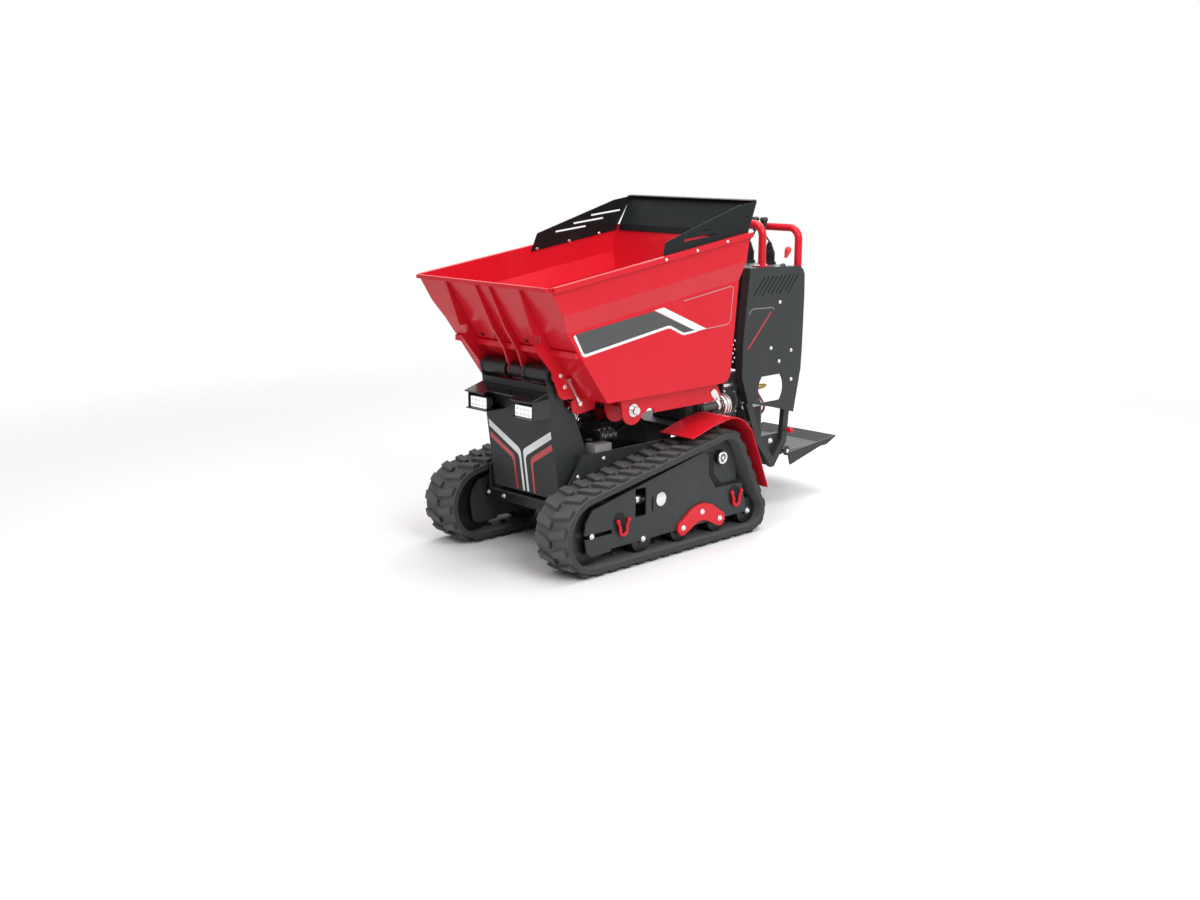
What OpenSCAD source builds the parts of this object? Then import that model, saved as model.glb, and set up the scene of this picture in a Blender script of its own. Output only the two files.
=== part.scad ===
// Site dumper on rubber tracks, with a front-tipping skip, a rear console and a folding platform.
// Frame: +X forward, +Y to the machine's left, +Z up, origin on the ground under the middle.

/* [Tracks] */
// Distance between the tracks' centre lines
track_gauge = 680; // [660:10:760]
// Width of each rubber track
track_w = 180; // [160:5:190]
// Thickness of the rubber band
band_t = 22; // [18:1:28]
// Height of the lugs on the band
lug_h = 15; // [12:1:20]
// Distance from lug to lug along the band
lug_pitch = 72; // [60:1:90]
// Length of a lug along the band
lug_l = 25; // [18:1:32]
// Radius of the road rollers
roller_r = 55; // [48:1:58]
// Radius of the front idler wheel
idler_r = 128; // [114:1:135]
// Radius of the drive sprocket
sprocket_r = 83; // [76:1:90]
// Place of the idler along the machine
idler_x = 768; // [740:1:790]
// Place of the drive sprocket along the machine
sprocket_x = 28; // [10:1:50]
// Height of the drive sprocket's axis
sprocket_z = 345; // [330:1:360]
// Place of the rearmost roller along the machine
rear_roller_x = -135; // [-160:1:-120]
// Thickness of the track frames' side plates
frame_plate_t = 8; // [6:1:10]
// Clear width between the two side plates of a track frame
frame_gap = 100; // [90:2:110]

/* [Chassis] */
// Gap between a track and the chassis wall beside it
track_gap = 11; // [8:1:20]
// Thickness of the chassis walls
chassis_t = 8; // [6:1:12]
// Height of the chassis floor
chassis_floor_z = 224; // [210:1:240]
// Height of the chassis deck
deck_z = 424; // [405:1:440]
// How far the tower stands in from each chassis wall
tower_in = 44; // [41:1:54]
// Sheet thickness of the tower
tower_t = 6; // [4:1:8]

/* [Skip] */
// Place of the tipping axis along the machine
hinge_x = 774; // [770:1:786]
// Height of the tipping axis
hinge_z = 745; // [740:1:755]
// Radius of the tipping pin
hinge_pin_r = 18; // [14:1:22]
// Outer radius of the sleeves that hold the pin
sleeve_r = 34; // [28:1:36]
// Place of the skip's front lip
lip_x = 961; // [940:1:980]
// Height of the skip's front lip
lip_z = 1102; // [1090:1:1120]
// Length of the rim, measured level
rim_run = 1091; // [1060:1:1110]
// Rise of the rim from front to rear
rim_rise = 151; // [130:1:170]
// Width of the skip at its rim
skip_w = 774; // [740:2:800]
// Depth of the upright band below the rim
rim_band_h = 112; // [90:1:130]
// Depth of the sloping band below it
bevel_h = 74; // [60:1:90]
// How far the sloping band leads in on each side
bevel_in = 27; // [20:1:34]
// Height of the skip's underside
floor_z = 645; // [638:1:652]
// Sheet thickness of the skip
skip_wall = 5; // [4:0.5:7]
// Sheet thickness of the extension boards
board_t = 4; // [3:0.5:6]
// Height of the extension boards above the rim
board_h = 113; // [80:1:140]

/* [Ram] */
// Radius of the ram's barrel
ram_r = 42; // [38:1:46]
// Wall of each tube of the ram
ram_wall = 9; // [6:0.5:9]
// Stroke of each of the ram's two stages
ram_stroke = 199; // [180:1:200]

/* [Console] */
// Width of the console over its side plates
console_w = 430; // [400:2:440]
// Sheet thickness of the console
console_t = 4; // [3:0.5:6]
// Height of the console's top
console_top_z = 1078; // [1060:1:1095]
// Radius of the handles' tube
handle_r = 17; // [14:1:20]
// Height of the front handle above the console's top
handle_h = 184; // [150:1:200]

/* [Platform] */
// Length of the platform's floor
platform_l = 265; // [240:5:300]
// Gap between the platform's wings and the legs
wing_gap = 4; // [3:0.5:8]
// Height of the platform's floor
platform_z = 238; // [232:1:246]
// Sheet thickness of the platform
platform_t = 5; // [4:0.5:6]

/* [Hidden] */
$fn = 64;

// Radial clearance of a pin in its bore
pin_gap = 0.05;
// Gap between parts that roll or lie on each other
seat_gap = 0.3;

paint_red = [0.80, 0.05, 0.08];
paint_grey = [0.16, 0.17, 0.18];
near_black = [0.06, 0.06, 0.07];
rubber = [0.13, 0.13, 0.13];
steel = [0.70, 0.71, 0.72];

// Plain helpers: an upright sheet across Y, a part on both sides, a rod, a bar and a bent strip
module sheet(y0, y1) {
    translate([0, y1, 0]) rotate([90, 0, 0]) linear_extrude(y1 - y0) children();
}
module both() {
    children();
    mirror([0, 1, 0]) children();
}
module rod_y(x, z, r, y0, y1) {
    translate([x, y0, z]) rotate([-90, 0, 0]) cylinder(h = y1 - y0, r = r);
}
module bar_2d(p, q, w) {
    translate(p) rotate(atan2(q[1] - p[1], q[0] - p[0])) translate([0, -w / 2]) square([norm(q - p), w]);
}
function strip_normal(p, i) =
    let (d = p[min(i + 1, len(p) - 1)] - p[max(i - 1, 0)]) [-d[1], d[0]] / norm(d);
module strip_2d(p, t) {
    n = len(p) - 1;
    polygon(concat([for (i = [0:n]) p[i] + strip_normal(p, i) * t / 2],
        [for (i = [n:-1:0]) p[i] - strip_normal(p, i) * t / 2]));
}

// Track geometry: the band runs round the rear roller, the idler and the sprocket
track_y = track_gauge / 2;
chassis_w = track_gauge - track_w - 2 * track_gap;
tower_w = chassis_w - 2 * tower_in;
ground_z = lug_h + band_t;
roller_z = ground_z + roller_r;
idler_z = ground_z + idler_r;
belt = [[rear_roller_x, roller_z, roller_r], [idler_x, idler_z, idler_r],
    [sprocket_x, sprocket_z, sprocket_r]];
roller_xs = [rear_roller_x + 625, rear_roller_x + 405, rear_roller_x + 185, rear_roller_x];
plate_in_y = track_y - frame_gap / 2;
plate_out_y = track_y + frame_gap / 2;

function belt_at(i) = belt[i % 3];
function run_normal(i) =
    let (a = belt_at(i), b = belt_at(i + 1), d = [b[0] - a[0], b[1] - a[1]], l = norm(d))
    let (c = (a[2] - b[2]) / l, s = sqrt(1 - c * c))
    [(c * d[0] + s * d[1]) / l, (c * d[1] - s * d[0]) / l];
function run_angle(i) = atan2(run_normal(i)[1], run_normal(i)[0]);
function run_length(i) =
    let (a = belt_at(i), b = belt_at(i + 1))
    sqrt((b[0] - a[0]) ^ 2 + (b[1] - a[1]) ^ 2 - (a[2] - b[2]) ^ 2);
function turn(i) = (run_angle(i + 1) - run_angle(i) + 720) % 360;
function turn_length(i, h) = turn(i) * PI / 180 * (belt_at(i + 1)[2] + h);
function on_belt(s, h, i = 0) =
    let (a = belt_at(i), b = belt_at(i + 1), n = run_normal(i), run = run_length(i),
        arc = turn_length(i, h))
    s < run
        ? [a[0] + (a[2] + h) * n[0] - s * n[1], a[1] + (a[2] + h) * n[1] + s * n[0], run_angle(i)]
        : s < run + arc
            ? let (w = run_angle(i) + (s - run) / arc * turn(i))
              [b[0] + (b[2] + h) * cos(w), b[1] + (b[2] + h) * sin(w), w]
            : on_belt(s - run - arc, h, i + 1);
belt_length = run_length(0) + run_length(1) + run_length(2)
    + turn_length(0, band_t) + turn_length(1, band_t) + turn_length(2, band_t);
lug_count = round(belt_length / lug_pitch);
lug_sink = 4;
lug_in = 9;
run_inset = 0.05;

module belt_2d(h) {
    for (c = belt) translate([c[0], c[1]]) circle(c[2] + h);
    polygon([for (i = [0:2]) let (a = belt_at(i), b = belt_at(i + 1), n = run_normal(i)) each
        [[a[0], a[1]] + (a[2] + h - run_inset) * n, [b[0], b[1]] + (b[2] + h - run_inset) * n]]);
}
module lug_half() {
    w = track_w / 2 - lug_in;
    lead = 30;
    translate([0, 0, -lug_sink]) linear_extrude(lug_h + 2 * lug_sink)
        polygon([[lead - lug_l, 2], [lead, 2], [lug_l * 0.5, w], [-lug_l * 0.9, w]]);
}
module track() {
    color(rubber) {
        sheet(-track_w / 2, track_w / 2) difference() {
            belt_2d(band_t);
            belt_2d(0);
        }
        intersection() {
            sheet(-track_w / 2, track_w / 2) belt_2d(band_t + lug_h);
            union() for (i = [0:lug_count - 1], side = [0, 1]) {
                p = on_belt((i + side / 2) * belt_length / lug_count, band_t);
                translate([p[0], 0, p[1]]) rotate([0, 90 - p[2], 0]) mirror([0, side, 0]) lug_half();
            }
        }
    }
}
module track_left() { translate([0, track_y, 0]) track(); }
module track_right() { mirror([0, 1, 0]) track_left(); }

// Track frame: two side plates, with a pocket for the drive hub in the outer one
hub_r = 30;
roller_boss_r = 19;
frame_top = [[idler_x - 5, 256], [sprocket_x + 120, 386]];
strip_start = frame_top[0] + (frame_top[1] - frame_top[0]) * 0.26 - [0, 6];
pocket = [[sprocket_x + 86, 368], [sprocket_x + 84, 286], [sprocket_x + 38, 224], [sprocket_x - 122, 221]];
module frame_plate_2d() {
    polygon([[idler_x + 4, 75], [idler_x + 26, 93], [idler_x + 38, 163], [idler_x + 29, 213],
        frame_top[0], frame_top[1], pocket[0], pocket[1], pocket[2], pocket[3],
        [rear_roller_x + 12, roller_z + 20], [rear_roller_x, roller_z],
        [idler_x - 198, 87], [idler_x - 105, 87], [idler_x - 100, 77]]);
    for (x = roller_xs) translate([x, roller_z]) circle(roller_boss_r);
}
eyelet_r = 21;
module window_2d() {
    translate([474, 186]) square([60, 112]);
    translate([434, 192]) square([9, 60]);
    for (x = shackle_xs) translate([x + 12, shackle_z + 29]) {
        for (s = [-1, 1]) translate([0, s * 11]) circle(eyelet_r);
        translate([-eyelet_r + 0.4, -11]) square([2 * eyelet_r - 0.8, 22]);
    }
    translate([idler_x - 108, idler_z - 19]) square([160, 17]);
}
module hub_plate_2d() {
    intersection() {
        translate([-12, 0]) belt_2d(-14);
        polygon([frame_top[1] + [20, -60], frame_top[1] + [0, 60], [sprocket_x - 90, 440],
            [sprocket_x - 110, 222], pocket[2] + [60, -10]]);
    }
}
module track_frame() {
    color(paint_grey) {
        sheet(plate_out_y, plate_out_y + frame_plate_t) difference() {
            frame_plate_2d();
            window_2d();
        }
        sheet(plate_in_y - frame_plate_t, plate_in_y) frame_plate_2d();
        sheet(plate_in_y, plate_out_y) bar_2d(strip_start, frame_top[1] - [0, 6], 8);
        sheet(plate_out_y - 20, plate_out_y - 12) hub_plate_2d();
        sheet(plate_out_y - 12, plate_out_y + frame_plate_t)
            strip_2d([pocket[0] + [3, 2], pocket[1] + [3, -1], pocket[2] + [2, -4],
                pocket[3] + [4, -4]], 8);
    }
}
module track_frame_left() { track_frame(); }
module track_frame_right() { mirror([0, 1, 0]) track_frame(); }

// What the band runs on
roller_w = 96;
module spool(x, z, r, w, groove, axle_r) {
    translate([x, track_y, z]) rotate([90, 0, 0]) {
        rotate_extrude() polygon([[0, -w / 2], [r, -w / 2], [r, -14], [r - groove, -10], [r - groove, 10],
            [r, 14], [r, w / 2], [0, w / 2]]);
        translate([0, 0, -frame_gap / 2]) cylinder(h = frame_gap, r = axle_r);
    }
}
module rollers() {
    color(near_black) both() for (x = roller_xs) spool(x, roller_z, roller_r - seat_gap, roller_w, 12, 16);
}
module idlers() {
    color(near_black) both() spool(idler_x, idler_z, idler_r - seat_gap, 64, 16, 20);
}
sprocket_teeth = 7;
sprocket_w = 36;
motor_r = 62;
hub_plate_y = plate_out_y - 20;
module sprockets() {
    color(steel) both() {
        rod_y(sprocket_x, sprocket_z, sprocket_r - 14, track_y - sprocket_w / 2, track_y + sprocket_w / 2);
        for (i = [0:sprocket_teeth - 1]) translate([sprocket_x, track_y, sprocket_z])
            rotate([0, i * 360 / sprocket_teeth, 0]) sheet(2 - sprocket_w / 2, sprocket_w / 2 - 2)
            polygon([[sprocket_r - 24, -15], [sprocket_r - 3, -7],
                [sprocket_r - 3, 7], [sprocket_r - 24, 15]]);
        rod_y(sprocket_x, sprocket_z, hub_r, track_y, hub_plate_y);
    }
}
module drive_motors() {
    color(near_black) both() {
        rod_y(sprocket_x, sprocket_z, motor_r, chassis_w / 2, track_y - sprocket_w / 2);
        rod_y(sprocket_x, sprocket_z, hub_r, plate_out_y - 12, plate_out_y + 6);
    }
}
rocker_t = 10;
rocker_end_r = 31;
rocker_half = [[124, 28], [62, 70], [24, 83], [0, 84]];
rocker_under = [[0, 14], [24, 11], [46, 1], [98, -26]];
module bogie_rockers() {
    y0 = plate_out_y + frame_plate_t;
    mid = [(roller_xs[1] + roller_xs[2]) / 2, roller_z];
    color(paint_red) both() sheet(y0, y0 + rocker_t) translate(mid) for (s = [-1, 1]) {
        polygon([for (q = concat(rocker_half, rocker_under)) [s * q[0], q[1]]]);
        translate([s * (roller_xs[1] - mid[0]), 3]) circle(rocker_end_r);
    }
}
shackle_r = 6.5;
shackle_xs = [roller_xs[0] + 118, rear_roller_x + 82];
shackle_z = 150;
module limb(p, q, r) {
    translate([p[0], 0, p[1]]) rotate([0, atan2(q[0] - p[0], q[1] - p[1]), 0])
        cylinder(h = norm(q - p), r = r);
}
module shackle() {
    half = 18;
    rotate([90, 0, 0]) rotate([0, 0, 180]) rotate_extrude(angle = 180)
        translate([half, 0]) circle(shackle_r);
    for (s = [-1, 1]) {
        translate([s * half, 0, 0]) cylinder(h = 18, r = shackle_r);
        limb([s * half, 12], [s * (half + 11), 40], shackle_r - 0.8);
        translate([s * (half + 11), 0, 40]) sphere(shackle_r + 2.5);
    }
}
module shackles() {
    y0 = plate_out_y + frame_plate_t + shackle_r + 2.5 + seat_gap;
    color(paint_red) both() for (x = shackle_xs) translate([x, y0, shackle_z]) shackle();
}
tube_x = 394;
tube_z = 236;
tube_r = 28;
module tube_caps() {
    y0 = plate_out_y + frame_plate_t;
    color(steel) both() rod_y(tube_x, tube_z, tube_r, y0, y0 + 5);
}

// Chassis: a trough between the tracks, with cross members to the track frames
wall_y = chassis_w / 2;
chassis_front_x = 738;
chassis_rear_x = -330;
tail_x = -590;
tail_t = 20;
tail_h = 70;
member_z = 182;
front_member_x = 640;
rear_member_x = -80;
member_l = 84;
module chassis_frame() {
    inner = plate_in_y - frame_plate_t;
    color(paint_grey) {
        both() sheet(wall_y - chassis_t, wall_y) polygon([[chassis_front_x, chassis_floor_z],
            [chassis_front_x, 320], [660, deck_z], [chassis_rear_x, deck_z],
            [chassis_rear_x, chassis_floor_z]]);
        translate([chassis_rear_x, -wall_y, chassis_floor_z])
            cube([chassis_front_x - chassis_rear_x, chassis_w, chassis_t]);
        translate([chassis_rear_x, -wall_y, deck_z - chassis_t])
            cube([-20 - chassis_rear_x, chassis_w, chassis_t]);
        both() sheet(leg_y - tail_t, leg_y) difference() {
            union() {
                translate([tail_x, chassis_floor_z]) square([chassis_rear_x - tail_x, tail_h]);
                polygon([[tail_x + 190, 330], [tail_x + 190, 226], [tail_x + 70, 190],
                    [tail_x, 226], [tail_x, 330]]);
                translate([fold_x, fold_z]) circle(fold_lug_r);
            }
            translate([fold_x, fold_z]) circle(fold_pin_r + pin_gap);
        }
        translate([tail_x + 30, -leg_y, chassis_floor_z]) cube([40, 2 * leg_y, 40]);
        rod_y(tube_x, tube_z, tube_r, -inner, inner);
        both() rest_post();
        ram_bracket();
    }
}
module cross_members() {
    inner = plate_in_y - frame_plate_t;
    color(near_black) for (x = [front_member_x, rear_member_x])
        translate([x, -inner, member_z]) cube([member_l, 2 * inner, chassis_floor_z - member_z]);
}
post_x = 60;
post_w = 44;
module rest_post() {
    translate([post_x - post_w / 2, inner_rail_y - post_w / 2, deck_z])
        cube([post_w, post_w / 2 + wall_y - inner_rail_y, rail_z - deck_z - seat_gap]);
    translate([post_x - post_w, wall_y - 40, deck_z - chassis_t]) cube([2 * post_w, 40, chassis_t]);
}
module ram_bracket() {
    y0 = eye_w / 2 + 4;
    top = chassis_floor_z + chassis_t;
    both() sheet(y0, y0 + 12) {
        translate([ram_x - 45, top]) square([90, ram_z - top]);
        translate([ram_x, ram_z]) circle(26);
    }
    rod_y(ram_x, ram_z, ram_pin_r, -y0, y0);
}
tower_half = tower_w / 2;
tower_foot_x = chassis_front_x + chassis_t;
tower_top = [hinge_x + 30, 708];
tower_foot_z = 252;
module tower() {
    color(paint_grey) {
        both() sheet(tower_half - tower_t, tower_half) difference() {
            union() {
                polygon([[tower_foot_x, tower_foot_z], tower_top, [hinge_x + sleeve_r + 3, hinge_z],
                    [hinge_x - sleeve_r - 3, hinge_z], [hinge_x - 54, 623], [hinge_x - 110, 581],
                    [hinge_x - 170, deck_z], [hinge_x - 170, deck_z - 90], [hinge_x - 100, tower_foot_z]]);
                translate([hinge_x, hinge_z]) circle(sleeve_r + 3);
            }
            translate([hinge_x, hinge_z]) circle(sleeve_r + pin_gap);
        }
        sheet(-tower_half, tower_half) polygon([[tower_foot_x, tower_foot_z], tower_top,
            tower_top - [tower_t, 0], [tower_foot_x - tower_t, tower_foot_z]]);
        sheet(-tower_half, tower_half) translate([hinge_x - 100, tower_foot_z])
            square([tower_foot_x - hinge_x + 100, tower_t]);
        both() translate([hinge_x - 170, tower_half, deck_z - 90])
            cube([60, wall_y - chassis_t - tower_half, 90]);
    }
}
rib_y = 35;
rib_t = 10;
sleeve_gap = 5;
module hinge_sleeves() {
    start = rib_y + rib_t + sleeve_gap;
    color(near_black) both() difference() {
        union() {
            rod_y(hinge_x, hinge_z, sleeve_r, start, tower_half + sleeve_gap);
            rod_y(hinge_x, hinge_z, sleeve_r + 3, start, start + 16);
        }
        rod_y(hinge_x, hinge_z, hinge_pin_r + pin_gap, 0, tower_half + 40);
    }
}
lamp_y = 134;
lamp_w = 94;
lamp_h = 48;
lamp_d = 42;
lamp_top_z = 638;
lamp_x = hinge_x + 60;
hood_t = 5;
hood_tip_x = lamp_x + 59;
hood_in_y = lamp_y - lamp_w / 2 - 11;
hood_out_y = lamp_y + lamp_w / 2 + 14;
function tower_x(z) =
    tower_foot_x + (tower_top[0] - tower_foot_x) * (z - tower_foot_z) / (tower_top[1] - tower_foot_z);
module hood_2d(tip_x, tip_z) {
    polygon([[tower_x(684), 684], [tip_x, tip_z], [tip_x, tip_z - hood_t],
        [tower_x(684 - hood_t), 684 - hood_t]]);
}
module lamp_hood() {
    base = lamp_top_z - lamp_h;
    color(near_black) {
        both() sheet(hood_in_y, hood_out_y) hood_2d(hood_tip_x, 657);
        sheet(-hood_in_y, hood_in_y) hood_2d(hood_tip_x - 26, 665);
        both() sheet(hood_in_y, hood_out_y) polygon([[tower_x(base), base], [hood_tip_x - 6, base],
            [hood_tip_x - 6, base - hood_t], [tower_x(base - hood_t), base - hood_t]]);
        both() sheet(hood_out_y - hood_t, hood_out_y) polygon([[tower_x(660), 660], [lamp_x + lamp_d, 655],
            [lamp_x + lamp_d, base], [tower_x(base), base]]);
        both() sheet(lamp_y - 20, lamp_y + 20) translate([lamp_x - 8, base + 6])
            square([8, lamp_h - 14]);
        both() sheet(lamp_y - 8, lamp_y + 8) polygon([[tower_x(base + 14), base + 14],
            [lamp_x - 4, base + 14], [lamp_x - 4, base + 32], [tower_x(base + 32), base + 32]]);
    }
}
module lamps() {
    color("white") both() translate([lamp_x, lamp_y - lamp_w / 2, lamp_top_z - lamp_h])
        cube([lamp_d, lamp_w, lamp_h - 1]);
}

// Skip: the sides follow the inclined rim, and the front, floor and rear lie between them
rim_tilt = atan2(rim_rise, rim_run);
rim_l = norm([rim_run, rim_rise]);
rim_half = skip_w / 2;
tub_half = rim_half - bevel_in;
rim_rear = [lip_x - rim_run, lip_z + rim_rise];
front_fold = [lip_x - 102, lip_z - 168];
toe_x = lip_x - 313;
knee = rim_rear + [35, -198];
heel_x = rim_rear[0] + 75;
heel_r = 46;
lean = skip_wall * 1.22;
function skip_rear_pts(t) = [rim_rear + [t, 0], knee + [t, 0], [heel_x + t, floor_z + heel_r],
    for (a = [195:15:255])
        [heel_x + heel_r + (heel_r - t) * cos(a), floor_z + heel_r + (heel_r - t) * sin(a)],
    [heel_x + heel_r, floor_z + t]];
module skip_outline_2d() {
    polygon(concat([[lip_x, lip_z], front_fold, [toe_x, floor_z]],
        [for (i = [8:-1:0]) skip_rear_pts(0)[i]]));
}
module rim_frame() {
    translate([lip_x, 0, lip_z]) rotate([0, rim_tilt, 0]) children();
}
module along_rim(l0, l1) {
    rim_frame() translate([-l1, 0, 0]) rotate([90, 0, 90]) linear_extrude(l1 - l0) children();
}
skip_deep = 760;
module side_profile_2d() {
    polygon([[rim_half, 30], [rim_half, -rim_band_h], [tub_half, -rim_band_h - bevel_h],
        [tub_half, -skip_deep], [tub_half - skip_wall, -skip_deep],
        [tub_half - skip_wall, -rim_band_h - bevel_h],
        [rim_half - skip_wall, -rim_band_h], [rim_half - skip_wall, 30]]);
}
module inside_profile_2d() {
    half = [[rim_half - skip_wall, 60], [rim_half - skip_wall, -rim_band_h],
        [tub_half - skip_wall, -rim_band_h - bevel_h], [tub_half - skip_wall, -skip_deep]];
    polygon(concat(half, [for (i = [3:-1:0]) [-half[i][0], half[i][1]]]));
}
rim_w = 14;
rim_h = 20;
module skip_side() {
    color(paint_red) {
        intersection() {
            along_rim(-200, rim_l + 200) side_profile_2d();
            sheet(0, rim_half + 10) skip_outline_2d();
        }
        rim_frame() translate([-rim_l, rim_half, -rim_h]) cube([rim_l - 12, rim_w, rim_h]);
    }
}
module skip_left() { skip_side(); }
module skip_right() { mirror([0, 1, 0]) skip_side(); }
module between_sides() {
    intersection() {
        sheet(-rim_half, rim_half) children();
        along_rim(-300, rim_l + 300) inside_profile_2d();
    }
}
module skip_front() {
    color(paint_red) {
        between_sides() polygon([[lip_x, lip_z], front_fold, [toe_x, floor_z],
            [toe_x - lean - 3, floor_z + skip_wall], front_fold - [lean, 0], [lip_x - lean, lip_z]]);
        sheet(-rim_half + 4, rim_half - 4) polygon([[lip_x, lip_z], [lip_x + 12, lip_z],
            [lip_x + 12, lip_z - 14], [on_front(lip_z - 14), lip_z - 14]]);
    }
}
module skip_floor() {
    color(paint_red) between_sides() polygon([[toe_x, floor_z], [toe_x - lean - 3, floor_z + skip_wall],
        [heel_x + heel_r, floor_z + skip_wall], [heel_x + heel_r, floor_z]]);
}
module skip_rear() {
    color(paint_red) between_sides()
        polygon(concat(skip_rear_pts(0), [for (i = [8:-1:0]) skip_rear_pts(skip_wall)[i]]));
}

// Ears, ribs and rails that carry the skip on its pin and on its ram
ear_y = 212;
ear_t = 8;
function on_front(z) = z > front_fold[1]
    ? front_fold[0] + (lip_x - front_fold[0]) * (z - front_fold[1]) / (lip_z - front_fold[1])
    : toe_x + (front_fold[0] - toe_x) * (z - floor_z) / (front_fold[1] - floor_z);
bar_z = 830;
bar_h = 22;
bar_d = 26;
notch_z = 880;
module ear_2d() {
    polygon([[lip_x, lip_z - 16], [lip_x - 64, notch_z + 33], [lip_x - 102, notch_z + 29],
        [lip_x - 102, notch_z], [lip_x - 68, notch_z - 8], [hinge_x + 28, hinge_z + 18],
        [hinge_x - 7, 668], [hinge_x - 29, 652], [hinge_x - 65, 653], [toe_x, floor_z],
        front_fold, [on_front(lip_z - 16), lip_z - 16]]);
    translate([hinge_x, hinge_z]) circle(hinge_pin_r + 7);
}
module rib_2d() {
    difference() {
        union() {
            polygon([[lip_x, lip_z - 16], [lip_x - 80, lip_z - 180], [lip_x - 140, lip_z - 270],
                [hinge_x + 23, hinge_z + 20], [hinge_x - 24, hinge_z - 14], [on_front(725), 725],
                front_fold, [on_front(lip_z - 16), lip_z - 16]]);
            translate([hinge_x, hinge_z]) circle(hinge_pin_r + 9);
        }
        translate([hinge_x, hinge_z]) circle(hinge_pin_r + pin_gap);
    }
}
module crossbar_2d() {
    polygon([[on_front(bar_z), bar_z], [on_front(bar_z) + bar_d, bar_z],
        [on_front(bar_z) + bar_d, bar_z + bar_h], [on_front(bar_z + bar_h), bar_z + bar_h]]);
}
module foot_2d() {
    polygon([[hinge_x - 69, hinge_z - 108], [hinge_x - 76, hinge_z - 146], [hinge_x - 98, hinge_z - 159],
        [hinge_x - 190, hinge_z - 146], [hinge_x - 200, floor_z], [toe_x, floor_z], [on_front(668), 668]]);
}
module skip_ribs() {
    color(paint_red) {
        both() difference() {
            sheet(ear_y, ear_y + ear_t) ear_2d();
            rod_y(hinge_x, hinge_z, hinge_pin_r + pin_gap, ear_y - 1, ear_y + pin_depth);
        }
        both() sheet(rib_y, rib_y + rib_t) rib_2d();
        sheet(-tub_half + skip_wall, tub_half - skip_wall) crossbar_2d();
        both() sheet(ear_y, ear_y + ear_t) foot_2d();
    }
}
pin_depth = 5;
module hinge_pin() {
    end = ear_y + pin_depth - seat_gap;
    color(near_black) {
        rod_y(hinge_x, hinge_z, hinge_pin_r, -end, end);
        rod_y(hinge_x, hinge_z, sleeve_r - 4, seat_gap - rib_y, rib_y - seat_gap);
    }
}
shaft_x = 477;
shaft_z = 592;
shaft_r = 16;
rail_y = 316;
rail_t = 8;
rail_z = 567;
rail_lobe_r = 58;
inner_rail_y = wall_y - 13;
clevis_y = 42;
clevis_t = 10;
module rail_2d() {
    difference() {
        union() {
            polygon([[shaft_x + 66, floor_z], [shaft_x + 56, shaft_z - 10], [shaft_x - 54, shaft_z - 20],
                [shaft_x - 130, rail_z], [heel_x + 80, rail_z], [heel_x + 14, rail_z + 17],
                [heel_x + heel_r, floor_z]]);
            translate([shaft_x, shaft_z]) circle(rail_lobe_r);
        }
        translate([shaft_x, shaft_z]) circle(shaft_r + pin_gap);
        translate([shaft_x - 95, shaft_z - 30]) circle(26);
        translate([0, floor_z]) square([1000, 40]);
    }
}
module clevis_2d() {
    difference() {
        union() {
            polygon([[shaft_x + 90, floor_z], [shaft_x + 50, shaft_z - 16], [shaft_x - 50, shaft_z - 16],
                [shaft_x - 110, floor_z]]);
            translate([shaft_x, shaft_z]) circle(50);
        }
        translate([shaft_x, shaft_z]) circle(shaft_r + pin_gap);
        translate([0, floor_z]) square([1000, 40]);
    }
}
module skip_rails() {
    color(paint_red) both() {
        sheet(rail_y, rail_y + rail_t) rail_2d();
        sheet(inner_rail_y, inner_rail_y + rail_t) rail_2d();
        sheet(clevis_y, clevis_y + clevis_t) clevis_2d();
        translate([heel_x + 70, inner_rail_y + rail_t, rail_z + 20])
            cube([rail_t, rail_y - inner_rail_y - rail_t, floor_z - rail_z - 20]);
    }
}
prop_pts = [[hinge_x - 48, hinge_z - 18], [hinge_x - 104, hinge_z - 115]];
module skip_shafts() {
    color(steel) both() {
        rod_y(shaft_x, shaft_z, shaft_r, clevis_y, rail_y + rail_t + 14);
        rod_y(shaft_x, shaft_z, 26, rail_y + rail_t, rail_y + rail_t + 6);
        for (p = prop_pts) rod_y(p[0], p[1], 9, ear_y + ear_t, ear_y + ear_t + 14);
        translate([0, ear_y + ear_t + 7, 0]) sheet(-4.5, 4.5) bar_2d(prop_pts[0], prop_pts[1], 9);
    }
}

// Extension boards, bolted inside the rim
board_foot = 23;
board_front = 586;
board_lean = 8;
board_back = 80;
board_seat = -rim_l + skip_wall + seat_gap;
module board_2d() {
    difference() {
        polygon([[-board_front, -board_foot], [-board_front - 36, 48], [-rim_l + 24, board_h],
            [-rim_l - board_back, board_h], [board_seat, 0], [-rim_l + skip_wall + 8, -board_foot]]);
        for (i = [0:2]) translate([-board_front - 318 - i * 105, 24 + i * 17]) rotate(2.5) square([180, 8]);
    }
}
module board_side() {
    color(paint_grey) rim_frame() translate([0, rim_half - skip_wall, -board_foot])
        rotate([board_lean, 0, 0]) translate([0, -board_t, board_foot]) sheet(0, board_t) board_2d();
}
module board_left() { board_side(); }
module board_right() { mirror([0, 1, 0]) board_side(); }
module board_rear() {
    half = rim_half - skip_wall - board_t - (board_h + board_foot) * tan(board_lean) - 1;
    foot = -rim_l + skip_wall + 8;
    color(paint_grey) rim_frame() {
        sheet(-half, half) polygon([[foot + board_t, -board_foot], [foot, -board_foot], [board_seat, 1],
            [-rim_l - board_back, board_h], [-rim_l - board_back + board_t + 1, board_h],
            [board_seat + board_t, 2]]);
        translate([-rim_l - board_back, -half, board_h]) cube([24, 2 * half, board_t]);
    }
}

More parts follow.
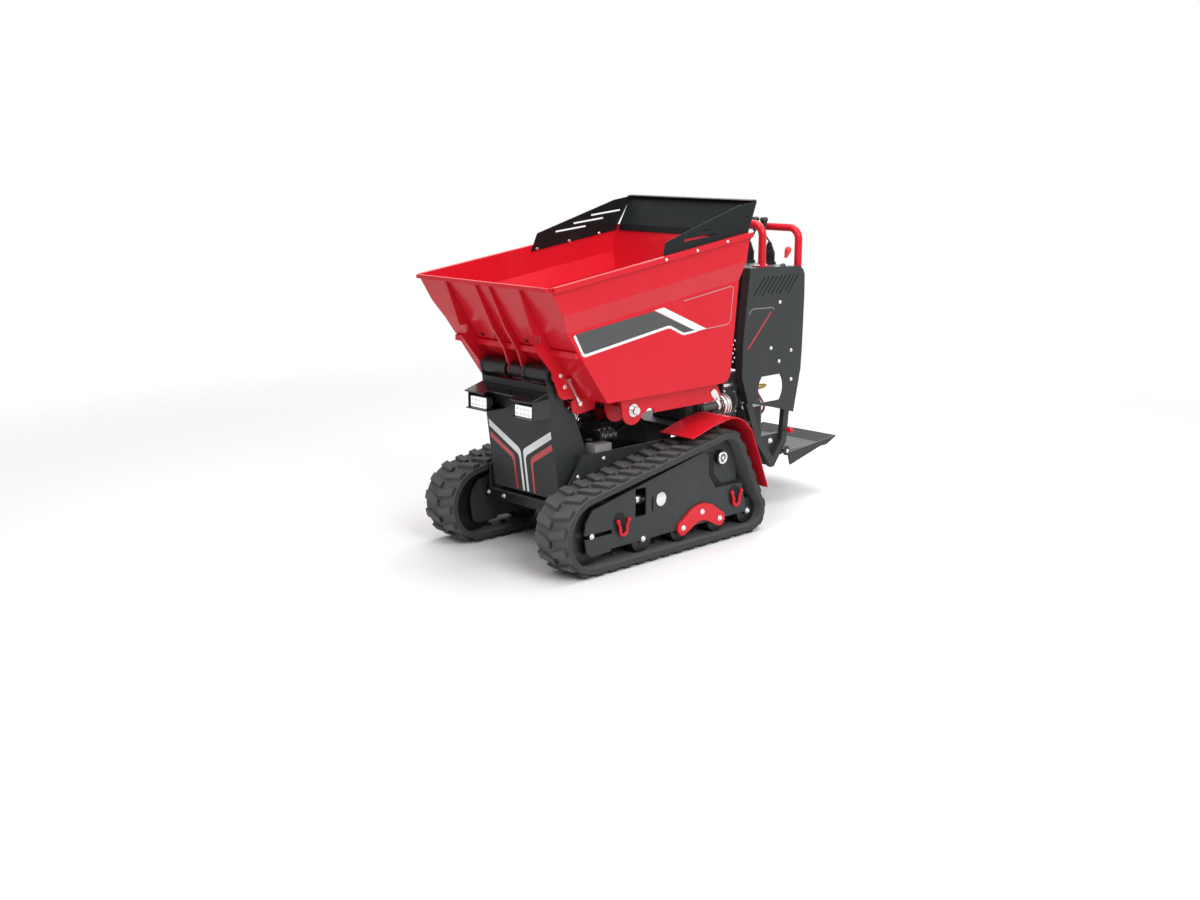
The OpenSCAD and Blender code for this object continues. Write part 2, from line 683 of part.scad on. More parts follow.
// Ram: a barrel on the chassis floor and two stages up to the skip's clevis
ram_x = 600;
ram_z = 264;
ram_lean = atan2(shaft_x - ram_x, shaft_z - ram_z);
ram_l = norm([shaft_x - ram_x, shaft_z - ram_z]);
stage_r = ram_r - ram_wall;
rod_r = stage_r - ram_wall;
eye_r = 28;
eye_w = 2 * clevis_y - 24;
barrel_top = ram_l - 84;
stage_top = barrel_top + 14;
ram_pin_r = 15;
module ram_frame() {
    translate([ram_x, 0, ram_z]) rotate([0, ram_lean, 0]) children();
}
module eye(z, bore) {
    difference() {
        rod_y(0, z, eye_r, -eye_w / 2, eye_w / 2);
        rod_y(0, z, bore, -eye_w, eye_w);
    }
}
module ram_barrel() {
    color(near_black) ram_frame() {
        difference() {
            union() {
                eye(0, ram_pin_r + pin_gap);
                translate([0, 0, 10]) cylinder(h = 40, r = eye_r - 2);
                translate([0, 0, 36]) cylinder(h = barrel_top - 36, r = ram_r);
                translate([0, 0, barrel_top - 24]) cylinder(h = 24, r = ram_r + 4);
            }
            translate([0, 0, 48]) cylinder(h = barrel_top, r = stage_r + pin_gap);
            rod_y(0, 0, ram_pin_r + pin_gap, -60, 60);
        }
    }
}
module ram_stage() {
    color(steel) ram_frame() difference() {
        translate([0, 0, stage_top - ram_stroke - 30]) cylinder(h = ram_stroke + 30, r = stage_r);
        translate([0, 0, stage_top - ram_stroke - 10]) cylinder(h = ram_stroke + 30, r = rod_r + pin_gap);
    }
}
module ram_rod() {
    color(steel) ram_frame() difference() {
        union() {
            translate([0, 0, stage_top - ram_stroke + 5])
                cylinder(h = ram_l - stage_top + ram_stroke - 25, r = rod_r);
            eye(ram_l, shaft_r);
        }
        rod_y(0, ram_l, shaft_r, -60, 60);
    }
}
// Fenders over the drive sprockets
fender_t = 4;
fender_pts = [[sprocket_x + 218, 460], [sprocket_x + 88, 496], [sprocket_x - 12, 512],
    [sprocket_x - 55, 508], [sprocket_x - 97, 489], [sprocket_x - 143, 445],
    [sprocket_x - 199, 322], [sprocket_x - 256, 183]];
module fender() {
    color(paint_red) {
        sheet(track_y - track_w / 2, track_y + track_w / 2) strip_2d(fender_pts, fender_t);
        for (x = [sprocket_x + 60, sprocket_x - 60]) translate([x, wall_y, deck_z - 14])
            cube([40, track_gap, 74]);
        sheet(track_y - track_w / 2 - 6, track_y - track_w / 2) polygon([[sprocket_x + 120, 484],
            [sprocket_x + 88, 494], [sprocket_x - 12, 510], [sprocket_x - 55, 506], [sprocket_x - 90, 489],
            [sprocket_x - 80, 450], [sprocket_x + 110, 450]]);
    }
}
module fender_left() { fender(); }
module fender_right() { mirror([0, 1, 0]) fender(); }

// Engine, silencer, oil tank and valve block
engine_y = 140;
module engine() {
    color(near_black) {
        translate([-300, -160, deck_z]) cube([190, 160 + engine_y, 150]);
        translate([-272, -140, deck_z + 150]) cube([152, 200, 106]);
        for (i = [0:5]) translate([-278, -146, deck_z + 156 + i * 16]) cube([164, 212, 6]);
        translate([-240, 70, deck_z + 150]) cube([110, engine_y - 70, 90]);
        translate([-325, 20, deck_z]) cube([100, engine_y + 10, 214]);
    }
}
silencer_y = 198;
silencer_z = 513;
silencer_x = -170;
module silencer() {
    color(steel) {
        translate([silencer_x, silencer_y, silencer_z]) rotate([0, 90, 0]) {
            for (i = [0:2]) translate([0, 0, i * 20]) cylinder(h = 14, r = 46 - i * 3);
            cylinder(h = 60, r = 38);
            translate([0, 0, 54]) cylinder(h = 60, r = 18);
        }
        rod_y(silencer_x + 30, silencer_z, 16, engine_y, silencer_y);
    }
}
tank_l = 180;
tank_cut = 26;
module oil_tank() {
    half = leg_y - tail_t;
    color(near_black) translate([chassis_rear_x - tank_l, 0, chassis_floor_z + tail_h]) linear_extrude(170)
        polygon([[tank_cut, -half], [tank_l, -half], [tank_l, half], [tank_cut, half],
            [tank_cut * 0.3, half - tank_cut * 0.3], [0, half - tank_cut], [0, tank_cut - half],
            [tank_cut * 0.3, tank_cut * 0.3 - half]]);
}
module valve_block() {
    color(steel) translate([500, wall_y - chassis_t - 60, deck_z - 30]) cube([90, 60, 60]);
}

// Console: two side plates with a folded front, a top, a guard and legs
console_y = console_w / 2;
leg_t = 24;
leg_w = 36;
leg_y = console_y - console_t - leg_t;
console_front = -298;
console_rear = -712;
flange_w = 40;
leg_gap = 0.5;
waist_z = console_top_z - 318;
hip_z = console_top_z - 463;
chin_z = console_top_z - 578;
guard_z = console_top_z - 420;
guard_h = 294;
front_line = [[console_front - 43, chin_z], [console_front, hip_z], [console_front - 2, waist_z],
    [console_front - 40, console_top_z + 3]];
top_line = [[console_front - 40, console_top_z + 3], [console_front - 181, console_top_z + 3],
    [console_rear + 38, console_top_z - 6], [console_rear + 14, console_top_z - 20],
    [console_rear + 2, console_top_z - 42]];
module console_2d() {
    polygon(concat(front_line, [for (i = [1:4]) top_line[i]], [[console_rear, console_top_z - 138],
        [console_rear + 6, console_top_z - 371], [console_rear + 12, console_top_z - 466],
        [console_rear + 55, console_top_z - 658], [console_front - 224, console_top_z - 621]]));
}
// A band along an edge line, as deep as the sheet is thick
module edge_2d(line) {
    intersection() {
        console_2d();
        for (i = [0:len(line) - 2]) bar_2d(line[i], line[i + 1], 2 * console_t);
    }
}
hole_z = console_top_z - 531;
hole_h = 116;
module grab_hole_2d() {
    intersection() {
        translate([console_front - 195, hole_z]) circle(84);
        translate([console_front - 295, hole_z - hole_h / 2]) square([200, hole_h]);
    }
}
vent_count = 9;
vent_pitch = 29;
module vents_2d() {
    for (i = [0:vent_count - 1]) translate([console_front - 64 - i * vent_pitch, console_top_z - 119])
        rotate(42.7) translate([-3.5, 12 * (i % 2)]) square([7, 108 - 12 * (i % 2)]);
}
module console_side() {
    color(paint_grey) {
        sheet(console_y - console_t, console_y) difference() {
            console_2d();
            grab_hole_2d();
            vents_2d();
        }
        sheet(console_y - flange_w, console_y) edge_2d(front_line);
    }
}
module console_left() { console_side(); }
module console_right() { mirror([0, 1, 0]) console_side(); }
module console_top() {
    color(paint_grey) sheet(-console_y + console_t, console_y - console_t) edge_2d([for (i = [0:4])
        i == 0 ? top_line[0] - [12, 0] : top_line[i]]);
}
module console_guard() {
    half = console_y - flange_w;
    color(near_black) sheet(-half, half) intersection() {
        edge_2d(front_line);
        translate([console_front - 60, guard_z]) square([60, guard_h]);
    }
}
// Fuel tank under the console's top
fuel_h = 140;
module fuel_tank() {
    half = leg_y;
    t = console_t;
    color(near_black) sheet(-half, half) polygon([[console_front - 60, console_top_z + 3 - t - seat_gap],
        top_line[1] - [0, t + seat_gap], top_line[2] + [14, -t - 1], top_line[2] + [14, -fuel_h],
        [console_front - 60, console_top_z - fuel_h]]);
}
module flange_zone_2d() {
    run = (front_line[1] - front_line[0]) / norm(front_line[1] - front_line[0]);
    back = (console_t + leg_gap) * [-run[1], run[0]];
    low = front_line[0] + back - 5 * run;
    high = front_line[1] + back;
    polygon([low, low + [60, 0], high + [60, 0], high]);
}
module console_legs() {
    color(paint_grey) both() sheet(leg_y, leg_y + leg_t) {
        difference() {
            strip_2d([[console_front - 50, chin_z + 12], [-425, 321], [-532, 196]], leg_w);
            flange_zone_2d();
        }
        strip_2d([[console_rear + 97, console_top_z - 638], [-600, 294], [-520, 196]], leg_w);
    }
}
// Cuts what stands on the console's top to the top's own outline
module on_console() {
    difference() {
        children();
        sheet(-console_y, console_y) console_2d();
    }
}
handle_half = console_y - 25;
handle_bend = 50;
module hoop(x, z0, z1) {
    translate([x, 0, 0]) {
        both() {
            translate([0, handle_half, z0]) cylinder(h = z1 - z0 - handle_bend, r = handle_r);
            translate([0, handle_half - handle_bend, z1 - handle_bend]) rotate([90, 0, 90])
                rotate_extrude(angle = 90) translate([handle_bend, 0]) circle(handle_r);
        }
        rod_y(0, z1, handle_r, -handle_half + handle_bend, handle_half - handle_bend);
    }
}
front_hoop_x = console_front - 144;
rear_hoop_x = console_rear + 22;
module handle_front() {
    color(paint_red) {
        hoop(front_hoop_x, console_top_z + 9, console_top_z + handle_h);
        both() translate([front_hoop_x - 30, handle_half - 26, console_top_z + 3]) cube([60, 44, 6]);
    }
}
module handle_rear() {
    color(paint_red) on_console() hoop(rear_hoop_x, console_top_z - 30, console_top_z + handle_h - 26);
}
lever_x = -648;
lever_y = 60;
boot_r = 25;
module drive_levers() {
    color(near_black) on_console() both() translate([lever_x, lever_y, console_top_z - 24]) {
        cylinder(h = 66, r = boot_r);
        translate([0, 0, 66]) cylinder(h = 52, r1 = boot_r, r2 = 9);
        translate([0, 0, 112]) rotate([35, 0, 0]) cylinder(h = 66, r = 6);
        translate([0, -35, 163]) cylinder(h = 34, r = 11);
        translate([0, -35, 190]) cylinder(h = 36, r1 = 11, r2 = 18);
    }
}
module skip_lever() {
    color(paint_red) on_console() translate([-572, console_y - 30, console_top_z - 16])
        rotate([0, -30, 0]) {
        cylinder(h = 72, r = 5);
        translate([0, 0, 76]) sphere(13);
    }
}

// Folding platform behind the console, hinged on the chassis tail
fold_x = -612;
fold_z = 248;
fold_pin_r = 9;
fold_lug_r = 22;
platform_half = leg_y + leg_t + wing_gap + platform_t;
mat_in = 24;
mat_t = 2;
module platform() {
    start = fold_x - fold_lug_r - 6;
    end = start - platform_l;
    color(paint_grey) {
        sheet(-platform_half, platform_half) polygon([[start, platform_z], [end, platform_z],
            [end - 68, platform_z + 30], [end - 68, platform_z + 30 - platform_t],
            [end, platform_z - platform_t], [start, platform_z - platform_t]]);
        translate([end + 12, mat_in - platform_half, platform_z - 1])
            cube([platform_l - 24, 2 * (platform_half - mat_in), mat_t + 1]);
        both() sheet(platform_half - platform_t, platform_half) difference() {
            union() {
                polygon([[start, platform_z], [end - 62, platform_z + 27], [end - 62, platform_z + 21],
                    [start, platform_z - 60], [fold_x - 12, fold_z - 22], [fold_x, fold_z + 10]]);
                translate([fold_x, fold_z]) circle(fold_lug_r);
            }
            translate([fold_x, fold_z]) circle(fold_pin_r + pin_gap);
        }
    }
}
knob_z = fold_z + 97;
module platform_pins() {
    color(steel) both() rod_y(fold_x, fold_z, fold_pin_r, leg_y - tail_t - 4, platform_half + 6);
}
module platform_latch() {
    color(paint_red) {
        rod_y(fold_x, knob_z, 6, leg_y + leg_t, platform_half + 10);
        translate([fold_x, platform_half + 18, knob_z]) sphere(13);
    }
}

chassis_frame();
cross_members();
tower();
hinge_sleeves();
lamp_hood();
lamps();
track_left();
track_right();
track_frame_left();
track_frame_right();
idlers();
rollers();
sprockets();
drive_motors();
bogie_rockers();
shackles();
tube_caps();
fender_left();
fender_right();
engine();
silencer();
oil_tank();
fuel_tank();
valve_block();
console_legs();
console_left();
console_right();
console_top();
console_guard();
handle_front();
handle_rear();
drive_levers();
skip_lever();
skip_left();
skip_right();
skip_front();
skip_floor();
skip_rear();
skip_ribs();
skip_rails();
hinge_pin();
skip_shafts();
board_left();
board_right();
board_rear();
ram_barrel();
ram_stage();
ram_rod();
platform();
platform_pins();
platform_latch();
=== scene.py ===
import math

import bmesh
import bpy
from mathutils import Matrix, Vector


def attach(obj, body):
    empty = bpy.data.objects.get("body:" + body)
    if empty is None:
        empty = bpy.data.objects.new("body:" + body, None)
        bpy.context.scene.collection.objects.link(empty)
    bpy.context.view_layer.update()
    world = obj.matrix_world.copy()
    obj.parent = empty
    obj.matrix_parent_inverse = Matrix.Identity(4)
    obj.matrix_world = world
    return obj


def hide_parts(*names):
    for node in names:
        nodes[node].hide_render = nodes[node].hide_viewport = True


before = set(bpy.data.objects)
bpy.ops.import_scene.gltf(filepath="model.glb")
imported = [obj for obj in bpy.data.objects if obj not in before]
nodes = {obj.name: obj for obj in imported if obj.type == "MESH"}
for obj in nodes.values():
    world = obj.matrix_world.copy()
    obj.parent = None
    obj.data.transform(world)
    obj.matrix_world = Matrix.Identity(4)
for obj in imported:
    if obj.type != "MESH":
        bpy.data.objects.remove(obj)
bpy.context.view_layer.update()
scene = bpy.context.scene
scene.view_settings.view_transform = "Standard"
print("frame loaded:", len(nodes), "solids")


# shader sockets as plain expressions
class Wire:
    def __init__(self, bench, socket):
        self.bench, self.socket = bench, socket

    def __add__(self, other):
        return self.bench.maths("ADD", self, other)

    def __radd__(self, other):
        return self.bench.maths("ADD", other, self)

    def __sub__(self, other):
        return self.bench.maths("SUBTRACT", self, other)

    def __rsub__(self, other):
        return self.bench.maths("SUBTRACT", other, self)

    def __mul__(self, other):
        return self.bench.maths("MULTIPLY", self, other)

    def __rmul__(self, other):
        return self.bench.maths("MULTIPLY", other, self)

    def __gt__(self, other):
        return self.bench.maths("GREATER_THAN", self, other)


class Bench:
    def __init__(self, name):
        self.material = bpy.data.materials.new(name)
        self.material.use_nodes = True
        self.tree = self.material.node_tree
        self.shader = self.tree.nodes["Principled BSDF"]
        self.place = self.add("ShaderNodeTexCoord", out="Object")

    def link(self, value, socket):
        if isinstance(value, Wire):
            self.tree.links.new(value.socket, socket)
        else:
            socket.default_value = value

    def add(self, kind, settings=None, sockets=None, out=0):
        node = self.tree.nodes.new(kind)
        for key, value in (settings or {}).items():
            setattr(node, key, value)
        for key, value in (sockets or {}).items():
            self.link(value, node.inputs[key])
        return Wire(self, node.outputs[out])

    def maths(self, operation, a, b):
        return self.add("ShaderNodeMath", {"operation": operation}, {0: a, 1: b})

    def clamp(self, a):
        return self.add("ShaderNodeClamp", {}, {0: a})

    def noise(self, scale, detail=3.0, rough=0.5, where=None):
        return self.add("ShaderNodeTexNoise", {},
                        {"Vector": where or self.place, "Scale": scale, "Detail": detail, "Roughness": rough}, "Fac")

    def mix(self, factor, a, b):
        return self.add("ShaderNodeMix", {"data_type": "RGBA"}, {0: factor, 6: a, 7: b}, 2)

    def stretch(self, scale):
        return self.add("ShaderNodeMapping", {}, {"Vector": self.place, "Scale": scale})

    def rounded(self, radius):
        return self.add("ShaderNodeBevel", {"samples": 4}, {"Radius": radius})

    def edges(self, rounded):
        flat = self.add("ShaderNodeNewGeometry", out="Normal")
        facing = self.add("ShaderNodeVectorMath", {"operation": "DOT_PRODUCT"}, {0: rounded, 1: flat}, "Value")
        return self.clamp((1.0 - facing) * 7.0)

    def bump(self, height, strength, distance, normal=None):
        sockets = {"Height": height, "Strength": strength, "Distance": distance}
        if normal:
            sockets["Normal"] = normal
        return self.add("ShaderNodeBump", {}, sockets)

    def finish(self, **values):
        for key, value in values.items():
            self.link(value, self.shader.inputs[key.replace("_", " ")])
        return self.material


def rgb(r, g, b):
    return (r, g, b, 1.0)


def sheetPaint(name, tone, deep, edgeWearHighlight, rough, coat, peel=0.05, dust=0.05, sheen=0.3):
    b = Bench(name)
    broad = b.noise(2.3, 4.0)
    grit = b.noise(95.0, 5.0, 0.6)
    smear = b.noise(7.0, 3.0, 0.55, b.stretch((1.0, 1.0, 0.25)))
    soft = b.rounded(0.0016)
    # lighter colour on edges: chipped paint and a painted edge highlight
    chipsAndEdgeHighlight = b.edges(soft) * (grit > 0.56) * 0.5
    body = b.mix(b.clamp(broad * 1.6 - 0.3), rgb(*deep), rgb(*tone))
    body = b.mix(b.clamp(smear * 2.4 - 1.25) * dust, body, rgb(0.30, 0.28, 0.25))
    flakes = b.noise(620.0, 2.0)
    return b.finish(Base_Color=b.mix(chipsAndEdgeHighlight, body, rgb(*edgeWearHighlight)),
                    Roughness=rough + (broad - 0.5) * 0.10 + (grit - 0.5) * 0.08 + chipsAndEdgeHighlight * 0.2,
                    Coat_Weight=b.clamp(coat - chipsAndEdgeHighlight * 0.6), Coat_Roughness=0.08, Specular_IOR_Level=sheen,
                    Normal=b.bump(flakes, peel, 0.0004, soft))


def bareMetal(name, tone, rough, grain=(1.0, 1.0, 14.0), tint=(0.30, 0.28, 0.25)):
    b = Bench(name)
    lines = b.noise(160.0, 3.0, 0.6, b.stretch(grain))
    stain = b.noise(9.0, 4.0, 0.6)
    soft = b.rounded(0.0009)
    mask = b.clamp(stain * 3.0 - 1.75) * 0.35
    return b.finish(Base_Color=b.mix(mask, rgb(*tone), rgb(*tint)), Metallic=b.clamp(1.0 - mask * 0.4),
                    Roughness=rough + (lines - 0.5) * 0.14 + mask * 0.3,
                    Normal=b.bump(lines, 0.10, 0.0003, soft))


def trackRubber(name, tone, dusty, flank=None):
    b = Bench(name)
    grain = b.noise(260.0, 4.0, 0.65)
    patch = b.noise(14.0, 5.0, 0.6)
    soft = b.rounded(0.003)
    scuffed = b.edges(soft) * 0.5 + b.clamp(patch * 2.2 - 1.0) * 0.45
    body = b.mix(b.clamp(scuffed), rgb(*tone), rgb(*dusty))
    if flank:  # faces turned sideways, the flanks, are coloured darker than the tread
        facing = b.add("ShaderNodeSeparateXYZ", {}, {0: b.add("ShaderNodeNewGeometry", out="Normal")}, "Y")
        body = b.mix(b.clamp(facing * facing * 3.0 - 1.6), body, rgb(*flank))
    return b.finish(Base_Color=body, Specular_IOR_Level=0.15, Roughness=0.72 + (patch - 0.5) * 0.2,
                    Normal=b.bump(grain + patch * 0.6, 0.22, 0.0012, soft))


def mouldedPlastic(name, tone, rough, texture=320.0):
    b = Bench(name)
    grain = b.noise(texture, 3.0, 0.6)
    broad = b.noise(11.0, 3.0)
    soft = b.rounded(0.0012)
    body = b.mix(broad, rgb(*[c * 0.8 for c in tone]), rgb(*[c * 1.25 for c in tone]))
    return b.finish(Base_Color=body, Roughness=rough + (broad - 0.5) * 0.16,
                    Normal=b.bump(grain, 0.14, 0.0006, soft))


def castIron(name, tone, warm):
    b = Bench(name)
    sand = b.noise(210.0, 6.0, 0.7)
    heat = b.noise(6.0, 4.0)
    soft = b.rounded(0.0014)
    # lighter grey along edges: rubbed metal and a painted edge highlight
    rubbedAndEdgeHighlight = b.edges(soft) * 0.35
    body = b.mix(b.clamp(heat * 2.0 - 0.8) * 0.5, rgb(*tone), rgb(*warm))
    return b.finish(Base_Color=b.mix(rubbedAndEdgeHighlight, body, rgb(0.20, 0.20, 0.20)), Metallic=0.35,
                    Roughness=0.52 + (sand - 0.5) * 0.2, Normal=b.bump(sand, 0.3, 0.0010, soft))


def stripeFilm(name, tone, shade):
    b = Bench(name)
    cloud = b.noise(6.0, 2.0)
    fine = b.noise(480.0, 2.0)
    return b.finish(Base_Color=b.mix(cloud, rgb(*shade), rgb(*tone)), Roughness=0.30 + (cloud - 0.5) * 0.1,
                    Coat_Weight=0.3, Normal=b.bump(fine, 0.03, 0.0003))


def lampLens(name):
    b = Bench(name)
    cells = b.add("ShaderNodeTexVoronoi", {"feature": "F1"}, {"Vector": b.place, "Scale": 62.0, "Randomness": 0.0},
                  "Distance")
    glow = b.clamp(1.25 - cells * 1.6)
    return b.finish(Base_Color=b.mix(glow, rgb(0.62, 0.64, 0.68), rgb(0.93, 0.94, 0.96)), Roughness=0.12 + cells * 0.1,
                    Coat_Weight=1.0, Emission_Color=b.mix(glow, rgb(0.2, 0.2, 0.22), rgb(1.0, 1.0, 1.0)),
                    Emission_Strength=0.95, Normal=b.bump(cells, 0.25, 0.002))


def gripMat(name, tone):
    b = Bench(name)
    ribs = b.add("ShaderNodeTexVoronoi", {"feature": "DISTANCE_TO_EDGE"},
                 {"Vector": b.place, "Scale": 140.0, "Randomness": 0.35}, "Distance")
    dirt = b.noise(16.0, 4.0)
    body = b.mix(b.clamp(dirt * 2.0 - 0.8) * 0.5, rgb(*tone), rgb(0.20, 0.19, 0.18))
    return b.finish(Base_Color=body, Roughness=0.62 + (dirt - 0.5) * 0.2, Normal=b.bump(ribs, 0.5, 0.0015))


redPaint = sheetPaint("redPaint", (0.69, 0.013, 0.028), (0.62, 0.009, 0.021), (0.45, 0.08, 0.08), 0.32, 0.12,
                      sheen=0.20)
greyPaint = sheetPaint("greyPaint", (0.037, 0.041, 0.043), (0.030, 0.034, 0.036), (0.12, 0.12, 0.12), 0.48, 0.04, 0.08,
                       sheen=0.22)
boardPaint = sheetPaint("boardPaint", (0.013, 0.016, 0.017), (0.010, 0.013, 0.014), (0.10, 0.10, 0.10), 0.48, 0.02,
                        sheen=0.12)
blackPaint = sheetPaint("blackPaint", (0.011, 0.011, 0.012), (0.008, 0.008, 0.009), (0.07, 0.07, 0.07), 0.42, 0.1, 0.08)
glossBlack = sheetPaint("glossBlack", (0.010, 0.010, 0.011), (0.007, 0.007, 0.008), (0.06, 0.06, 0.06), 0.24, 0.4, 0.04)
beltRubber = trackRubber("beltRubber", (0.105, 0.105, 0.104), (0.130, 0.129, 0.127), (0.052, 0.052, 0.052))
hoseRubber = trackRubber("hoseRubber", (0.014, 0.014, 0.015), (0.035, 0.035, 0.036))
brightSteel = bareMetal("brightSteel", (0.72, 0.72, 0.73), 0.24)
zincPlate = bareMetal("zincPlate", (0.78, 0.78, 0.77), 0.30, (1.0, 1.0, 1.0))
rodChrome = bareMetal("rodChrome", (0.86, 0.86, 0.87), 0.10, (1.0, 1.0, 3.0))
plainAluminium = bareMetal("plainAluminium", (0.74, 0.74, 0.73), 0.30, (6.0, 1.0, 1.0))
dullBrass = bareMetal("dullBrass", (0.62, 0.42, 0.13), 0.32, (1.0, 1.0, 1.0), (0.20, 0.13, 0.05))
blackPlastic = mouldedPlastic("blackPlastic", (0.016, 0.016, 0.017), 0.48)
redPlastic = mouldedPlastic("redPlastic", (0.66, 0.016, 0.022), 0.32, 520.0)
redHose = mouldedPlastic("redHose", (0.42, 0.05, 0.07), 0.42, 260.0)
pipeSteel = bareMetal("pipeSteel", (0.20, 0.20, 0.20), 0.45, (1.0, 1.0, 1.0))
palePlate = sheetPaint("palePlate", (0.30, 0.30, 0.30), (0.25, 0.25, 0.25), (0.45, 0.45, 0.45), 0.40, 0.1)
engineIron = castIron("engineIron", (0.030, 0.030, 0.031), (0.060, 0.046, 0.036))
whiteFilm = stripeFilm("whiteFilm", (0.90, 0.90, 0.90), (0.84, 0.84, 0.85))
redFilm = stripeFilm("redFilm", (0.62, 0.020, 0.028), (0.44, 0.012, 0.018))
darkFilm = stripeFilm("darkFilm", (0.056, 0.060, 0.062), (0.046, 0.050, 0.052))
paleFilm = stripeFilm("paleFilm", (0.42, 0.42, 0.43), (0.34, 0.34, 0.35))
clearLens = lampLens("clearLens")
platformGrip = gripMat("platformGrip", (0.058, 0.061, 0.062))
deepBlack = mouldedPlastic("deepBlack", (0.0045, 0.0045, 0.0048), 0.85, 420.0)

finishes = {
    "redPaint": (redPaint, ["bogie_rockers", "shackles", "fender_left", "fender_right", "handle_front", "handle_rear",
                            "skip_lever", "skip_left", "skip_right", "skip_front", "skip_floor", "skip_rear",
                            "skip_ribs", "skip_rails", "platform_latch"]),
    "greyPaint": (greyPaint, ["chassis_frame", "tower", "track_frame_left", "track_frame_right", "console_legs",
                              "console_left", "console_right", "console_top", "platform"]),
    "boardPaint": (boardPaint, ["board_left", "board_right", "board_rear"]),
    # the cross members are coloured black, darker than the grey chassis they join
    "blackPaint": (blackPaint, ["cross_members", "hinge_sleeves", "hinge_pin", "idlers", "rollers", "drive_motors",
                                "console_guard", "ram_barrel", "oil_tank", "fuel_tank"]),
    "glossBlack": (glossBlack, ["lamp_hood"]),
    "beltRubber": (beltRubber, ["track_left", "track_right"]),
    "brightSteel": (brightSteel, ["sprockets", "tube_caps", "skip_shafts", "platform_pins"]),
    "rodChrome": (rodChrome, ["ram_stage", "ram_rod"]),
    "plainAluminium": (plainAluminium, ["silencer", "valve_block"]),
    "clearLens": (clearLens, ["lamps"]),
    "blackPlastic": (blackPlastic, ["drive_levers"]),
    "engineIron": (engineIron, ["engine"]),
}
for material, names in finishes.values():
    for name in names:
        nodes[name].data.materials.clear()
        nodes[name].data.materials.append(material)
print("materials on", sum(len(names) for _, names in finishes.values()), "solids")

# camera where the photo was taken, soft boxes and a pale floor that fades out
shot = {"place": (4.29983, 4.12695, 1.62405), "yaw": -133.799, "pitch": -12.45, "lens": 42.404}
softBoxes = [
    {"name": "sideBox", "place": (1.2, 5.0, 4.4), "size": 4.2, "watts": 240},
    {"name": "topBox", "place": (-0.4, 0.2, 5.2), "size": 4.6, "watts": 215},
    {"name": "frontBox", "place": (4.4, 0.6, 5.0), "size": 3.0, "watts": 70},
    {"name": "rearBox", "place": (-5.0, -2.8, 3.4), "size": 3.6, "watts": 90},
]
room = {"fill": 0.29, "seen": 1.0, "aim": (0, 0, 0.5)}
ground = {"radius": 9.0, "tone": 0.90, "fadeRate": 0.42, "fadeFrom": 0.95}


def makeCamera():
    data = bpy.data.cameras.new("shotCamera")
    data.lens, data.sensor_width, data.clip_end = shot["lens"], 36.0, 200.0
    cam = bpy.data.objects.new("shotCamera", data)
    scene.collection.objects.link(cam)
    yaw, pitch = math.radians(shot["yaw"]), math.radians(shot["pitch"])
    aim = Vector((math.cos(yaw) * math.cos(pitch), math.sin(yaw) * math.cos(pitch), math.sin(pitch)))
    cam.location, cam.rotation_mode = shot["place"], "QUATERNION"
    cam.rotation_quaternion = aim.to_track_quat("-Z", "Y")
    scene.camera = cam


def makeLights():
    for box in softBoxes:
        data = bpy.data.lights.new(box["name"], "AREA")
        data.shape, data.size, data.energy = "DISK", box["size"], box["watts"]
        lamp = bpy.data.objects.new(box["name"], data)
        lamp.location = box["place"]
        lamp.rotation_mode = "QUATERNION"
        lamp.rotation_quaternion = (Vector(room["aim"]) - lamp.location).to_track_quat("-Z", "Y")
        scene.collection.objects.link(lamp)
    world = bpy.data.worlds.new("paleRoom")
    world.use_nodes = True
    tree = world.node_tree
    ray = tree.nodes.new("ShaderNodeLightPath")
    seen = tree.nodes.new("ShaderNodeMath")
    seen.operation = "MAXIMUM"
    tree.links.new(ray.outputs["Is Camera Ray"], seen.inputs[0])
    tree.links.new(ray.outputs["Is Transmission Ray"], seen.inputs[1])
    shown = tree.nodes.new("ShaderNodeMath")
    shown.operation = "MAXIMUM"
    tree.links.new(seen.outputs[0], shown.inputs[0])
    tree.links.new(ray.outputs["Is Glossy Ray"], shown.inputs[1])
    level = tree.nodes.new("ShaderNodeMapRange")
    level.inputs["To Min"].default_value, level.inputs["To Max"].default_value = room["fill"], room["seen"]
    tree.links.new(shown.outputs[0], level.inputs["Value"])
    back = tree.nodes["Background"]
    back.inputs["Color"].default_value = (1.0, 1.0, 1.0, 1.0)
    tree.links.new(level.outputs["Result"], back.inputs["Strength"])
    scene.world = world


def makeFloor():
    mesh = bpy.data.meshes.new("studioFloor")
    bm = bmesh.new()
    bmesh.ops.create_circle(bm, cap_ends=True, segments=96, radius=ground["radius"])
    bm.to_mesh(mesh)
    floor = bpy.data.objects.new("studioFloor", mesh)
    scene.collection.objects.link(floor)
    b = Bench("paleFloor")
    reach = b.add("ShaderNodeVectorMath", {"operation": "LENGTH"}, {0: b.place}, "Value")
    fade = b.clamp(reach * ground["fadeRate"] - ground["fadeFrom"])
    b.finish(Base_Color=rgb(*[ground["tone"]] * 3), Roughness=0.55)
    clear = b.add("ShaderNodeBsdfTransparent")
    blend = b.tree.nodes.new("ShaderNodeMixShader")
    b.link(fade, blend.inputs[0])
    b.tree.links.new(b.shader.outputs[0], blend.inputs[1])
    b.tree.links.new(clear.socket, blend.inputs[2])
    b.tree.links.new(blend.outputs[0], b.tree.nodes["Material Output"].inputs["Surface"])
    mesh.materials.append(b.material)


makeCamera()
makeLights()
makeFloor()
print("camera, lights and floor")


sharpAngle = math.radians(34)  # edges sharper than this stay crisp


